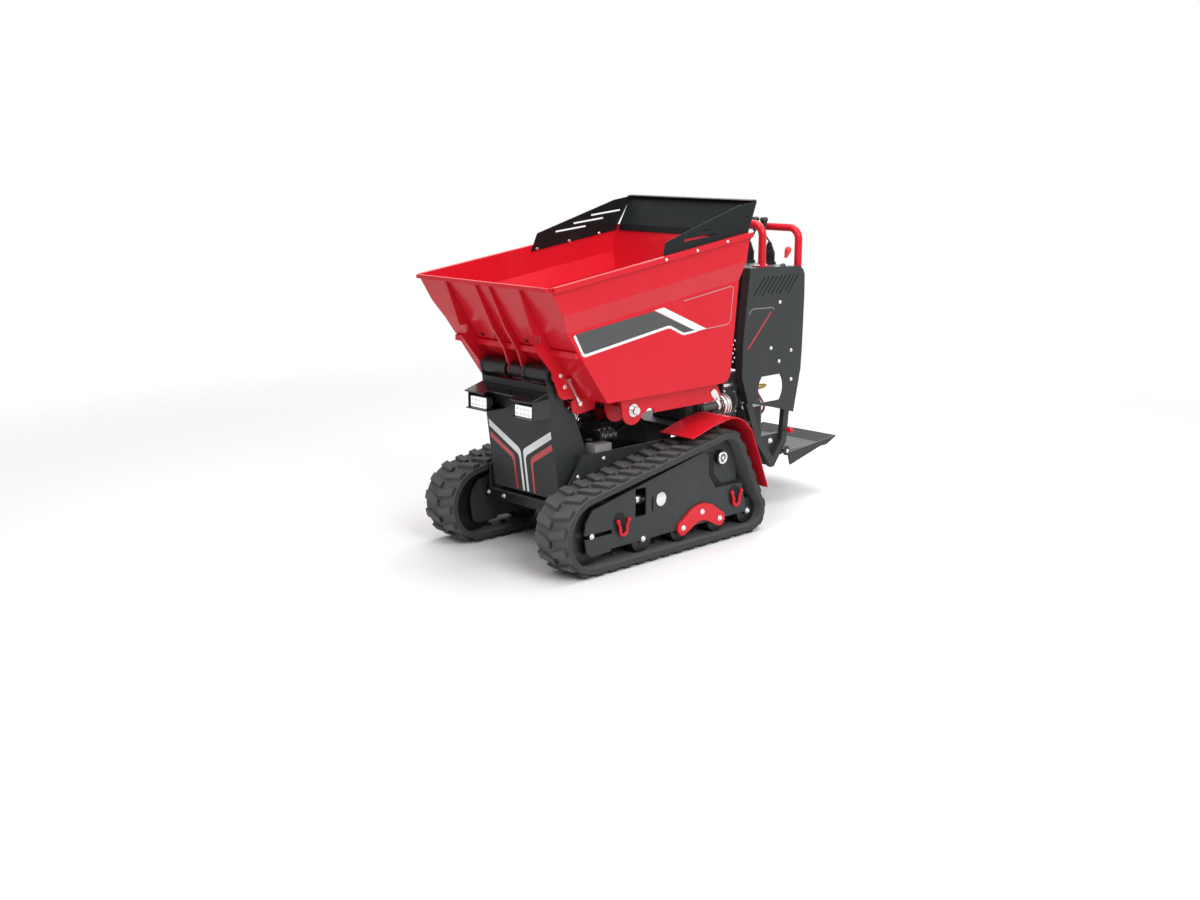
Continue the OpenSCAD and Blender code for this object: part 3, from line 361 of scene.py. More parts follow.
# one piece's mesh, built from turned, swept, flat and boxed parts
class Build:
    def __init__(self, *materials):
        self.bm, self.materials = bmesh.new(), materials

    def take(self, points, faces, mat):
        made = [self.bm.verts.new(p) for p in points]
        out = []
        for face in faces:
            f = self.bm.faces.new([made[i] for i in face])
            f.material_index = mat
            out.append(f)
        return out

    def turned(self, profile, base, axis, mat=0, steps=32):
        z = Vector(axis).normalized()
        x = z.orthogonal().normalized()
        y = z.cross(x)
        points, rings = [], []
        for radius, height in profile:
            centre = Vector(base) + z * height
            if radius < 1e-6:
                rings.append([len(points)])
                points.append(centre)
                continue
            rings.append(list(range(len(points), len(points) + steps)))
            for i in range(steps):
                a = 2 * math.pi * i / steps
                points.append(centre + (x * math.cos(a) + y * math.sin(a)) * radius)
        faces = []
        for low, high in zip(rings, rings[1:]):
            for i in range(steps):
                j = (i + 1) % steps
                if len(low) == 1 and len(high) > 1:
                    faces.append((low[0], high[j], high[i]))
                elif len(high) == 1 and len(low) > 1:
                    faces.append((low[i], low[j], high[0]))
                elif len(low) > 1:
                    faces.append((low[i], low[j], high[j], high[i]))
        if len(rings[0]) > 1:
            faces.append(tuple(reversed(rings[0])))
        if len(rings[-1]) > 1:
            faces.append(tuple(rings[-1]))
        return self.take(points, faces, mat)

    def tube(self, path, radius, mat=0, sides=12):
        path = [Vector(p) for p in path]
        side, points = None, []
        for i, p in enumerate(path):
            run = (path[min(i + 1, len(path) - 1)] - path[max(i - 1, 0)]).normalized()
            side = run.orthogonal() if side is None else side - run * side.dot(run)
            side.normalize()
            other = run.cross(side)
            for k in range(sides):
                a = 2 * math.pi * k / sides
                points.append(p + (side * math.cos(a) + other * math.sin(a)) * radius)
        n = len(path)
        faces = [(i * sides + k, i * sides + (k + 1) % sides, (i + 1) * sides + (k + 1) % sides, (i + 1) * sides + k)
                 for i in range(n - 1) for k in range(sides)]
        faces += [tuple(reversed(range(sides))), tuple(range((n - 1) * sides, n * sides))]
        return self.take(points, faces, mat)

    def plate(self, outline, thick, origin, u, v, mat=0):
        u, v, origin = Vector(u), Vector(v), Vector(origin)
        n = u.cross(v).normalized()
        flat = [origin + u * a + v * b for a, b in outline]
        count = len(flat)
        faces = [tuple(reversed(range(count))), tuple(range(count, 2 * count))]
        faces += [(i, (i + 1) % count, count + (i + 1) % count, count + i) for i in range(count)]
        return self.take(flat + [p + n * thick for p in flat], faces, mat)

    def box(self, low, high, mat=0, bevel=0.002, segments=2):
        xs, ys, zs = zip(low, high)
        points = [(x, y, z) for x in xs for y in ys for z in zs]
        corners = [(0, 1, 3, 2), (4, 6, 7, 5), (0, 4, 5, 1), (2, 3, 7, 6), (0, 2, 6, 4), (1, 5, 7, 3)]
        faces = self.take(points, corners, mat)
        edges = list(dict.fromkeys(e for f in faces for e in f.edges))  # same order each run
        if bevel:
            bmesh.ops.bevel(self.bm, geom=edges, offset=bevel, segments=segments, affect="EDGES", profile=0.7,
                            material=mat)

    def mirrorY(self):
        copy = bmesh.ops.duplicate(self.bm, geom=self.bm.verts[:] + self.bm.edges[:] + self.bm.faces[:])
        for item in copy["geom"]:
            if isinstance(item, bmesh.types.BMVert):
                item.co.y = -item.co.y
        bmesh.ops.reverse_faces(self.bm, faces=[f for f in copy["geom"] if isinstance(f, bmesh.types.BMFace)])

    def mesh(self, name):
        bmesh.ops.recalc_face_normals(self.bm, faces=self.bm.faces)
        mesh = bpy.data.meshes.new(name)
        self.bm.to_mesh(mesh)
        self.bm.free()
        for material in self.materials:
            mesh.materials.append(material)
        mesh.shade_smooth()
        mesh.set_sharp_from_angle(angle=sharpAngle)
        return mesh

    def done(self, name, body, replaces=()):
        piece = bpy.data.objects.new(name, self.mesh(name))
        scene.collection.objects.link(piece)
        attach(piece, body)
        if replaces:
            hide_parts(*replaces)
        return piece


# node tree that sets a source shape on every point, turned to its aim
def scatterTree(name, pivot):
    tree = bpy.data.node_groups.new(name, "GeometryNodeTree")
    face = tree.interface
    face.new_socket("Geometry", in_out="INPUT", socket_type="NodeSocketGeometry")
    face.new_socket("Shape", in_out="INPUT", socket_type="NodeSocketObject")
    face.new_socket("Size", in_out="INPUT", socket_type="NodeSocketFloat")
    face.new_socket("Finish", in_out="INPUT", socket_type="NodeSocketMaterial")
    face.new_socket("Geometry", in_out="OUTPUT", socket_type="NodeSocketGeometry")
    new = tree.nodes.new
    start, end = new("NodeGroupInput"), new("NodeGroupOutput")
    shape = new("GeometryNodeObjectInfo")
    aim, grow = new("GeometryNodeInputNamedAttribute"), new("GeometryNodeInputNamedAttribute")
    aim.data_type, grow.data_type = "FLOAT_VECTOR", "FLOAT"
    aim.inputs["Name"].default_value, grow.inputs["Name"].default_value = "aim", "grow"
    turn = new("FunctionNodeAlignRotationToVector")
    turn.axis, turn.pivot_axis = "Z", pivot
    sized = new("ShaderNodeMath")
    sized.operation = "MULTIPLY"
    spread, real = new("GeometryNodeInstanceOnPoints"), new("GeometryNodeRealizeInstances")
    dress = new("GeometryNodeSetMaterial")
    wire = tree.links.new
    wire(start.outputs["Geometry"], spread.inputs["Points"])
    wire(start.outputs["Shape"], shape.inputs["Object"])
    wire(shape.outputs["Geometry"], spread.inputs["Instance"])
    wire(aim.outputs["Attribute"], turn.inputs["Vector"])
    wire(turn.outputs["Rotation"], spread.inputs["Rotation"])
    wire(grow.outputs["Attribute"], sized.inputs[0])
    wire(start.outputs["Size"], sized.inputs[1])
    wire(sized.outputs[0], spread.inputs["Scale"])
    wire(spread.outputs["Instances"], real.inputs["Geometry"])
    wire(real.outputs["Geometry"], dress.inputs["Geometry"])
    wire(start.outputs["Finish"], dress.inputs["Material"])
    wire(dress.outputs["Geometry"], end.inputs["Geometry"])
    return tree


freeScatter = scatterTree("freeScatter", "AUTO")
loopScatter = scatterTree("loopScatter", "Y")


def scatter(name, shapeMesh, spots, material, body, size=1.0, tree=None, replaces=()):
    tree = tree or freeScatter
    source = bpy.data.objects.new(name + "Shape", shapeMesh)
    scene.collection.objects.link(source)
    mesh = bpy.data.meshes.new(name)
    mesh.from_pydata([s[0] for s in spots], [], [])
    aim = mesh.attributes.new("aim", "FLOAT_VECTOR", "POINT")
    aim.data.foreach_set("vector", [c for s in spots for c in s[1]])
    grow = mesh.attributes.new("grow", "FLOAT", "POINT")
    grow.data.foreach_set("value", [s[2] if len(s) > 2 else 1.0 for s in spots])
    piece = bpy.data.objects.new(name, mesh)
    scene.collection.objects.link(piece)
    mod = piece.modifiers.new("scatter", "NODES")
    mod.node_group = tree
    values = {"Shape": source, "Size": size, "Finish": material}
    for item in tree.interface.items_tree:
        if item.in_out == "INPUT" and item.name in values:
            mod[item.identifier] = values[item.name]
    depsgraph = bpy.context.evaluated_depsgraph_get()
    plain = bpy.data.meshes.new_from_object(piece.evaluated_get(depsgraph))
    piece.modifiers.remove(mod)
    piece.data = plain
    plain.name = name
    plain.set_sharp_from_angle(angle=sharpAngle)
    bpy.data.objects.remove(source)
    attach(piece, body)
    if replaces:
        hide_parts(*replaces)
    return piece


# bolts: a hexagon head on a washer, one mesh for each body
boltSizes = {"head": 1.0, "headHeight": 0.72, "washer": 1.45, "washerHeight": 0.2}


def boltShape():
    b = Build()
    s = boltSizes
    top = s["washerHeight"] + s["headHeight"]
    b.turned([(s["washer"], 0.0), (s["washer"], s["washerHeight"] * 0.7), (s["washer"] * 0.93, s["washerHeight"]),
              (0.9, s["washerHeight"])], (0, 0, 0), (0, 0, 1), 0, 20)
    b.turned([(s["head"], s["washerHeight"] * 0.5), (s["head"], top - 0.12), (s["head"] * 0.86, top), (0.45, top),
              (0.40, top - 0.14), (0.0, top - 0.14)], (0, 0, 0), (0, 0, 1), 0, 6)
    return b.mesh("boltShape")


def sides(points, y, size):
    return [((x, s * y, z), (0, s, 0), size) for x, z in points for s in (1, -1)]


frameY, rockerY, consoleY, wallY = 0.398, 0.408, 0.215, 0.239
chassisBolts = (
    sides([(0.767, 0.1545), (0.490, 0.092), (-0.135, 0.092)], frameY, 0.0078)
    + sides([(0.270, 0.095), (0.158, 0.142), (0.050, 0.095)], rockerY, 0.0080)
    + sides([(-0.542, 0.924), (-0.488, 0.726), (-0.628, 0.703), (-0.546, 0.662), (-0.634, 0.572)], consoleY, 0.0058)
    + sides([(0.551, 0.398), (0.690, 0.345)], wallY, 0.0062)
    + sides([(-0.463, 0.300), (-0.533, 0.301)], 0.187, 0.0090)
    + [((x, s * 0.190, 1.087), (0, 0, 1), 0.0062) for x in (-0.466, -0.418) for s in (1, -1)]
    + [((0.7245, s * y, 0.203), (1, 0, 0), 0.0075) for y in (0.167, 0.262) for s in (1, -1)]
    + [((x, s * 0.200, 0.4245), (0, 0, 1), 0.006) for x in (-0.10, -0.05) for s in (1, -1)]
)
skipBolts = (
    sides([(0.376, 1.172), (0.201, 1.197), (0.025, 1.223)], 0.401, 0.0042)
    + [((x, -s * 0.3778, z - 0.002), (0, s, 0), 0.0058) for x, z in ((0.347, 1.172), (0.164, 1.196), (-0.014, 1.220))
       for s in (1, -1)]
    + sides([(0.758, 0.748), (0.738, 0.702)], 0.220, 0.0062)
)
darkBolts = [((0.8148, y, 0.873), (0.808, 0, -0.589), 0.0060) for y in (-0.171, -0.091, 0.091, 0.171)]
scatter("chassisBolts", boltShape(), chassisBolts, zincPlate, "chassis")
scatter("skipBolts", boltShape(), skipBolts, zincPlate, "skip")
scatter("skipDarkBolts", boltShape(), darkBolts, blackPaint, "skip")
print("bolts:", len(chassisBolts) + len(skipBolts) + len(darkBolts))

# stripes on the tower, the skip's sides and the console, in millimetres on each sheet
towerStripes = {
    "white": [(185, 529), (186, 500), (30, 411), (22, 402), (19, 390), (18, 258), (7, 258), (7, 412), (9, 426),
              (17, 436)],
    "red": [(183, 478), (186, 454), (68, 388), (62, 381), (59, 370), (57, 258), (46, 258), (47, 385), (50, 397),
            (58, 407)],
    "foot": (0.746, 0, 0.252), "lean": (56, 0, 440),
}
sideStripes = {
    "y": 0.3602, "lineWide": 2.6,
    "white": [(812, 921), (821, 914), (778, 841), (768, 834), (752, 835), (322, 900), (308, 899), (240, 868),
              (226, 865), (150, 872), (168, 880), (398, 974)],
    "dark": [(812, 922), (773, 852), (765, 845), (752, 846), (322, 911), (305, 909), (236, 877), (224, 875), (168, 879),
             (398, 974)],
    "slash": [(398, 977), (346, 984), (98, 879), (154, 874)],
    "line": [(98, 879), (-20, 884), (-38, 889), (-47, 901), (-62, 1022), (-60, 1033), (-50, 1038), (232, 1000)],
}
consoleStripes = {
    "y": 0.2152, "paleWide": 2.4, "redWide": 7.0,
    "pale": [(-338, 884), (-346, 900), (-360, 907), (-490, 904), (-500, 899), (-501, 890)],
    "red": [(-484, 886), (-334, 736)],
}
mm = 0.001


def ribbon(points, wide):
    out = []
    for side, run in ((1, points), (-1, points[::-1])):
        for i, p in enumerate(run):
            a, c = run[max(i - 1, 0)], run[min(i + 1, len(run) - 1)]
            dx, dz = c[0] - a[0], c[1] - a[1]
            size = math.hypot(dx, dz)
            out.append((p[0] - dz / size * wide / 2, p[1] + dx / size * wide / 2))
    return out


def towerFilm():
    b = Build(whiteFilm, redFilm)
    lean = Vector(towerStripes["lean"]).normalized()
    n = Vector((0, 1, 0)).cross(lean)
    foot = Vector(towerStripes["foot"])
    start = foot + n * 0.0002
    for mat, key in enumerate(("white", "red")):
        for s in (1, -1):
            outline = [(s * y * mm, (z * mm - foot.z) / lean.z) for y, z in towerStripes[key]]
            b.plate(outline, 0.0005, start, (0, 1, 0), lean, mat)
    b.done("towerFilm", "chassis")


def sideFilm():
    b = Build(whiteFilm, darkFilm, paleFilm)
    for s in (1, -1):
        y = s * sideStripes["y"]
        u, v = (s, 0, 0), (0, 0, 1)
        for mat, key, lift in ((0, "white", 0.0), (1, "dark", 0.0003), (0, "slash", 0.0005)):
            b.plate([(s * x * mm, z * mm) for x, z in sideStripes[key]], 0.0003, (0, y + s * lift, 0), u, v, mat)
        line = ribbon(sideStripes["line"], sideStripes["lineWide"])
        b.plate([(s * x * mm, z * mm) for x, z in line], 0.0004, (0, y, 0), u, v, 2)
    b.done("sideFilm", "skip")


def consoleFilm():
    b = Build(paleFilm, redFilm)
    for s in (1, -1):
        y = s * consoleStripes["y"]
        for mat, key in enumerate(("pale", "red")):
            strip = ribbon(consoleStripes[key], consoleStripes[key + "Wide"])
            b.plate([(s * x * mm, z * mm) for x, z in strip], 0.0004, (0, y, 0), (s, 0, 0), (0, 0, 1), mat)
    b.done("consoleFilm", "chassis")


towerFilm()
sideFilm()
consoleFilm()
print("stripes")

# work lamps in their hood
lampSizes = {"x": (0.834, 0.876), "y": (0.087, 0.181), "z": (0.590, 0.637), "rim": 0.0022}


def workLamps():
    b = Build(blackPlastic, clearLens, plainAluminium)
    (x0, x1), (y0, y1), (z0, z1), rim = lampSizes["x"], lampSizes["y"], lampSizes["z"], lampSizes["rim"]
    b.box((x0 + 0.010, y0, z0), (x1 - 0.006, y1, z1), 0, 0.004)
    b.box((x1 - 0.012, y0 + rim, z0 + rim), (x1, y1 - rim, z1 - rim), 1, 0.003)
    for i in range(6):
        y = y0 + 0.010 + i * (y1 - y0 - 0.024) / 5
        b.box((x0, y, z0 + 0.006), (x0 + 0.014, y + 0.004, z1 - 0.006), 2, 0.001, 1)
    b.mirrorY()
    b.done("workLamps", "chassis", ["lamps"])


def ledShape():
    b = Build()
    b.turned([(0.0052, 0.0), (0.0050, 0.0010), (0.0034, 0.0014), (0.0, 0.0016)], (0, 0, 0), (0, 0, 1), 0, 12)
    return b.mesh("ledShape")


workLamps()
ledSpots = [((lampSizes["x"][1] - 0.0002, s * (0.102 + i * 0.0213), 0.604 + k * 0.019), (1, 0, 0))
            for i in range(4) for k in range(2) for s in (1, -1)]
scatter("lampLeds", ledShape(), ledSpots, plainAluminium, "chassis")
print("lamps")

# levers: bellows boots, bent rods and flared grips
leverSizes = {"x": -0.648, "bootY": 0.060, "gripY": 0.025, "base": 1.0725, "boot": 0.025, "shoulder": 1.120,
              "neck": 1.172, "ribs": 6, "grip": 0.011, "cap": 0.018, "gripFrom": 1.217, "top": 1.280}


def driveLevers():
    b = Build(hoseRubber, blackPaint, blackPlastic)
    s = leverSizes
    for side in (1, -1):
        y = side * s["bootY"]
        wide, rise = s["boot"], s["shoulder"] - s["base"]
        profile = [(wide + 0.006, 0.0), (wide + 0.006, 0.010), (wide, 0.013), (wide, rise)]
        for i in range(s["ribs"]):
            t0, t1 = (i + 0.15) / s["ribs"], (i + 0.75) / s["ribs"]
            for t, out in ((t0, 0.0028), (t1, -0.0010)):
                profile.append((s["boot"] + (0.007 - s["boot"]) * t + out,
                                s["shoulder"] - s["base"] + (s["neck"] - s["shoulder"]) * t))
        profile += [(0.007, s["neck"] - s["base"]), (0.0, s["neck"] - s["base"] + 0.002)]
        b.turned(profile, (s["x"], y, s["base"]), (0, 0, 1), 0, 32)
        grip = side * s["gripY"]
        path = [(s["x"], y, 1.150), (s["x"], y, s["neck"]), (s["x"], grip + side * 0.006, 1.204),
                (s["x"], grip + side * 0.001, 1.214), (s["x"], grip, s["gripFrom"] + 0.01)]
        b.tube(path, 0.0042, 1, 10)
        tall = s["top"] - s["gripFrom"]
        b.turned([(0.0, 0.0), (0.0085, 0.0), (s["grip"], 0.003), (s["grip"] + 0.001, tall * 0.42),
                  (0.0145, tall * 0.62), (s["cap"], tall * 0.76), (s["cap"] + 0.0006, tall * 0.86),
                  (s["cap"] - 0.001, tall * 0.93),
                  (s["cap"] - 0.005, tall * 0.98), (0.0, tall)], (s["x"], grip, s["gripFrom"]), (0, 0, 1), 2, 28)
    b.done("leverSet", "chassis", ["drive_levers"])


knobSizes = {"foot": (-0.572, 0.196, 1.062), "tip": (-0.612, 0.196, 1.146)}


def skipLever():
    b = Build(rodChrome, redPlastic, blackPlastic)
    foot, tip = Vector(knobSizes["foot"]), Vector(knobSizes["tip"])
    run = (tip - foot).normalized()
    long = (tip - foot).length
    b.turned([(0.013, 0.0), (0.013, 0.018), (0.008, 0.026), (0.005, 0.028), (0.0, 0.028)], foot, run, 2, 20)
    b.tube([foot, foot + run * (long - 0.018)], 0.0042, 0, 12)
    b.turned([(0.0, 0.0), (0.0065, 0.001), (0.0078, 0.010), (0.0125, 0.026), (0.0142, 0.036), (0.0128, 0.046),
              (0.0075, 0.052), (0.0, 0.0535)], foot + run * (long - 0.040), run, 1, 24)
    b.done("skipLeverKnob", "chassis", ["skip_lever"])


driveLevers()
skipLever()
print("levers")

# engine: crankcase, finned head, air cleaner, starter and the round fan cover at the rear
engineSizes = {"x": (-0.300, -0.110), "y": (-0.160, 0.140), "deck": 0.4245, "fins": 6,
               "shroud": ((-0.324, 0.021, 0.4245), (-0.227, 0.169, 0.637)), "fan": (-0.262, 0.505), "fanR": 0.060}


def engineBlock():
    b = Build(engineIron, blackPlastic, plainAluminium, zincPlate, redPlastic)
    deck = engineSizes["deck"]
    (x0, x1), (y0, y1) = engineSizes["x"], engineSizes["y"]
    b.box((x0, y0 + 0.040, deck), (x1, y1 - 0.004, deck + 0.148), 0, 0.012, 3)
    b.box((x0 + 0.012, y0 + 0.02, deck), (x1 - 0.004, y1, deck + 0.016), 0, 0.003)
    b.box((x0 + 0.032, -0.134, deck + 0.146), (x1 - 0.016, 0.054, deck + 0.206), 0, 0.006)
    b.box((x0 + 0.028, -0.140, deck + 0.206), (x1 - 0.010, 0.060, deck + 0.255), 1, 0.014, 4)
    b.box((x0 + 0.060, 0.071, deck + 0.146), (x1 - 0.020, 0.139, deck + 0.239), 1, 0.012, 3)
    b.turned([(0.086, 0.0), (0.086, 0.020), (0.078, 0.030), (0.060, 0.034), (0.050, 0.030), (0.030, 0.034),
              (0.0, 0.036)], (-0.204, y0 + 0.038, deck + 0.082), (0, -1, 0), 1, 40)
    for i in range(14):
        a = 2 * math.pi * i / 14
        c = Vector((-0.204 + math.cos(a) * 0.069, y0 + 0.0045, deck + 0.082 + math.sin(a) * 0.069))
        b.tube([c, c + Vector((math.cos(a) * -0.010, 0, math.sin(a) * -0.010))], 0.0022, 0, 6)
    b.box((-0.215, y0 + 0.004, deck + 0.148), (-0.190, y0 + 0.030, deck + 0.158), 4, 0.003)
    b.tube([(-0.148, 0.092, deck + 0.236), (-0.138, 0.075, deck + 0.250), (-0.135, 0.03, deck + 0.252),
            (-0.135, -0.02, deck + 0.246)], 0.0035, 1, 8)
    low, high = engineSizes["shroud"]
    b.box(low, high, 1, 0.010, 3)
    fx, fz = engineSizes["fan"]
    r = engineSizes["fanR"]
    b.turned([(r, -0.001), (r, 0.005), (r - 0.004, 0.007), (r - 0.009, 0.005), (r - 0.013, 0.002), (r - 0.024, 0.003),
              (r - 0.028, 0.006), (0.014, 0.007), (0.012, 0.0055), (0.0, 0.0055)], (fx, high[1], fz), (0, 1, 0), 1, 48)
    for x, z in ((-0.298, 0.551), (-0.307, 0.465), (-0.232, 0.560)):
        b.turned([(0.0055, 0.0), (0.0055, 0.005), (0.004, 0.0065), (0.0, 0.0065)], (x, high[1], z), (0, 1, 0), 3, 6)
    b.box((-0.288, 0.164, 0.578), (-0.228, 0.1735, 0.591), 2, 0.002)
    for i in range(5):
        z = 0.600 + i * 0.0066
        b.box((-0.315, high[1] - 0.003, z), (-0.240, high[1] + 0.002, z + 0.0035), 1, 0.001, 1)
    b.done("engineBlock", "chassis", ["engine"])


def finShape():
    b = Build()
    b.box((-0.082, -0.106, 0.0), (0.082, 0.106, 0.0044), 0, 0.0016, 1)
    return b.mesh("finShape")


engineBlock()
finX, finY, finZ = -0.196, -0.040, engineSizes["deck"] + 0.152
finSpots = [((finX, finY, finZ + i * 0.0094), (0, 0, 1)) for i in range(engineSizes["fins"])]
scatter("engineFins", finShape(), finSpots, engineIron, "chassis")
print("engine")

# silencer: stacked rings on the engine's left, a ribbed pipe forward and a tab
silencerSizes = {"x": -0.200, "y": 0.198, "z": 0.510, "ribs": 23}


def silencerCan():
    b = Build(plainAluminium, zincPlate, pipeSteel)
    s = silencerSizes
    place = (s["x"], s["y"], s["z"])
    b.turned([(0.0, 0.0), (0.040, 0.0), (0.048, 0.001), (0.050, 0.003), (0.050, 0.007), (0.048, 0.009),
              (0.0445, 0.0105), (0.0445, 0.0135), (0.047, 0.015), (0.0485, 0.017), (0.0485, 0.021),
              (0.0465, 0.023), (0.0430, 0.0245),
              (0.0430, 0.0270), (0.0445, 0.0285), (0.0455, 0.030), (0.0455, 0.033), (0.0435, 0.036), (0.0385, 0.038),
              (0.0375, 0.0355), (0.0340, 0.0355), (0.0330, 0.039), (0.0285, 0.0405), (0.0275, 0.038), (0.0245, 0.038),
              (0.0230, 0.044), (0.0205, 0.052), (0.0, 0.052)], place, (1, 0, 0), 0, 48)
    pipe = [(0.0, 0.050)]
    for i in range(s["ribs"]):
        h = 0.050 + i * 0.0040
        pipe += [(0.0150, h), (0.0178, h + 0.0012), (0.0178, h + 0.0024), (0.0150, h + 0.0036)]
    pipe += [(0.0175, 0.1435), (0.0135, 0.144), (0.0130, 0.136), (0.0, 0.136)]
    b.turned(pipe, place, (1, 0, 0), 2, 28)
    b.turned([(0.024, 0.0), (0.024, 0.006), (0.0155, 0.007), (0.0155, 0.045), (0.0, 0.045)],
             (-0.160, 0.1405, s["z"]), (0, 1, 0), 1, 24)
    b.done("silencerCan", "chassis", ["silencer"])


silencerCan()

# bright tab on each rail's rear end and the stepped end of each shaft
tabSizes = {"shaft": (0.477, 0.592, 0.3375), "y": 0.3238, "thick": 0.004, "stud": (-0.012, 0.578),
            "outline": [(9, 619), (29, 609), (22, 592), (-11, 561), (-31, 568), (-16, 598), (-5, 613)]}


def railTabs():
    b = Build(zincPlate, brightSteel)
    t = tabSizes
    for s in (1, -1):
        outline = [(s * x * mm, z * mm) for x, z in t["outline"]]
        b.plate(outline, -t["thick"], (0, s * t["y"], 0), (s, 0, 0), (0, 0, 1), 0)
        x, z, y = t["shaft"]
        b.turned([(0.0165, 0.0), (0.0165, 0.011), (0.0150, 0.013), (0.0, 0.013)], (x, s * y, z), (0, s, 0), 1, 28)
        x, z = t["stud"]
        b.turned([(0.0075, 0.0), (0.0075, 0.005), (0.006, 0.0065), (0.0, 0.0065)],
                 (x, s * (t["y"] + t["thick"]), z), (0, s, 0), 1, 6)
    b.done("railTabs", "skip")


railTabs()

# near-black sheets behind the console's vents: painted shade for the dark space behind them
ventShadeSizes = {"y": 0.2108, "thick": 0.003,
               "outline": [(-345, 925), (-352, 1060), (-660, 1056), (-694, 1040), (-700, 925)]}


def ventScreens():
    b = Build(deepBlack)
    t = ventShadeSizes
    for s in (1, -1):
        outline = [(s * x * mm, z * mm) for x, z in t["outline"]]
        b.plate(outline, t["thick"], (0, s * t["y"], 0), (s, 0, 0), (0, 0, 1), 0)
    b.done("ventScreens", "chassis")


ventScreens()

# guard in front of the console: a perforated band with plain sheet above and below it
guardSizes = {"half": 0.175, "low": 0.648, "high": 0.952, "fold": 0.760, "foldX": -0.300, "lean": 0.1184,
              "wide": 0.0175, "tall": 0.0186, "first": 0.679, "rows": 6, "hole": 0.0046, "thick": 0.003}


def guardX(z):
    g = guardSizes
    return g["foldX"] - max(0.0, z - g["fold"]) * g["lean"] - g["thick"] / 2 - 0.0005


def guardCell():
    b = Build()
    g = guardSizes
    hx, hy, r, t = g["tall"] / 2, g["wide"] / 2, g["hole"], g["thick"] / 2
    square = [(hx, 0), (hx, hy), (0, hy), (-hx, hy), (-hx, 0), (-hx, -hy), (0, -hy), (hx, -hy)]
    square = [p for a, c in zip(square, square[1:] + square[:1]) for p in (a, ((a[0] + c[0]) / 2, (a[1] + c[1]) / 2))]
    ring = [(r * math.cos(i * math.pi / 8), r * math.sin(i * math.pi / 8)) for i in range(16)]
    points = [(x, y, z) for z in (-t, t) for x, y in square + ring]
    faces = []
    for i in range(16):
        j = (i + 1) % 16
        faces += [(i, 16 + i, 16 + j, j), (32 + i, 32 + j, 48 + j, 48 + i), (16 + i, 48 + i, 48 + j, 16 + j),
                  (i, j, 32 + j, 32 + i)]
    b.take(points, faces, 0)
    return b.mesh("guardCell")


def guardSheet():
    b = Build(blackPaint, zincPlate)
    g = guardSizes
    t, top = g["thick"], g["first"] + (g["rows"] - 0.5) * g["tall"]
    low = g["first"] - g["tall"] / 2
    b.box((guardX(low) - t / 2, -g["half"], g["low"]), (guardX(low) + t / 2, g["half"], low), 0, 0.0006, 1)
    run = Vector((-g["lean"], 0, 1)).normalized()
    long = (g["high"] - top) / run.z
    start = (guardX(top) - t / 2, 0, top)
    b.plate([(-g["half"], 0), (g["half"], 0), (g["half"], long), (-g["half"], long)], t, start, (0, 1, 0), run, 0)
    for row in range(0, g["rows"], 2):
        z = g["first"] + (row - 0.5) * g["tall"]
        for side in (1, -1):
            y0, y1 = sorted((side * (g["half"] - g["wide"] / 2), side * g["half"]))
            b.box((guardX(z) - t / 2, y0, z), (guardX(z) + t / 2, y1, z + g["tall"]), 0, 0.0004, 1)
    for z in (0.812, 0.930):
        for side in (1, -1):
            b.turned([(0.007, 0.0), (0.007, 0.002), (0.005, 0.004), (0.0, 0.0045)],
                     (guardX(z) + t / 2 - 0.0004, side * 0.150, z), (1, 0, g["lean"]), 1, 16)
    b.done("guardSheet", "chassis")


guardSpots = []
for row in range(guardSizes["rows"]):
    count = 19 if row % 2 == 0 else 20
    z = guardSizes["first"] + row * guardSizes["tall"]
    tilt = guardSizes["lean"] if z > guardSizes["fold"] else 0.0
    across = [(i - (count - 1) / 2) * guardSizes["wide"] for i in range(count)]
    guardSpots += [((guardX(z), y, z), (1, 0, tilt)) for y in across]
scatter("consoleMesh", guardCell(), guardSpots, blackPaint, "chassis", replaces=["console_guard"])
guardSheet()
print("guard:", len(guardSpots), "holes")

# guide horns on the inside of each track, along its straight runs and between the rollers
trackSizes = {"y": 0.340, "wheels": [(-0.135, 0.092, 0.055), (0.768, 0.165, 0.128), (0.028, 0.345, 0.083)],
              "rollers": (0.490, 0.270, 0.050), "clear": 0.034, "pitch": 0.072, "horn": (0.015, 0.009, 0.010)}


def runPoints(step):
    wheels, spots = trackSizes["wheels"], []
    for (ax, az, ar), (bx, bz, br) in zip(wheels, wheels[1:] + wheels[:1]):
        dx, dz = bx - ax, bz - az
        size = math.hypot(dx, dz)
        c = (ar - br) / size
        s = math.sqrt(1 - c * c)
        nx, nz = (c * dx + s * dz) / size, (c * dz - s * dx) / size
        run = math.sqrt(size * size - (ar - br) ** 2)
        count = int((run - 0.12) / step)
        for k in range(count):
            t = (k + 0.5) / count * (run - 0.12) + 0.06
            x, z = ax + ar * nx - t * nz, az + ar * nz + t * nx
            if all(abs(x - r) > trackSizes["clear"] for r in trackSizes["rollers"]) or z > 0.16:
                spots.append((x, z, -nx, -nz))
    return spots


def hornShape():
    b = Build()
    lx, ly, h = trackSizes["horn"]
    low = [(-lx, -ly, -0.001), (lx, -ly, -0.001), (lx, ly, -0.001), (-lx, ly, -0.001)]
    high = [(x * 0.55, y * 0.6, h) for x, y, _ in low]
    b.take(low + high, [(3, 2, 1, 0), (4, 5, 6, 7)] + [(i, (i + 1) % 4, 4 + (i + 1) % 4, 4 + i) for i in range(4)], 0)
    return b.mesh("hornShape")


for side, name in ((1, "trackHornsLeft"), (-1, "trackHornsRight")):
    horns = [((x, side * trackSizes["y"], z), (nx, 0, nz)) for x, z, nx, nz in runPoints(trackSizes["pitch"])]
    scatter(name, hornShape(), horns, beltRubber, "chassis", tree=loopScatter)
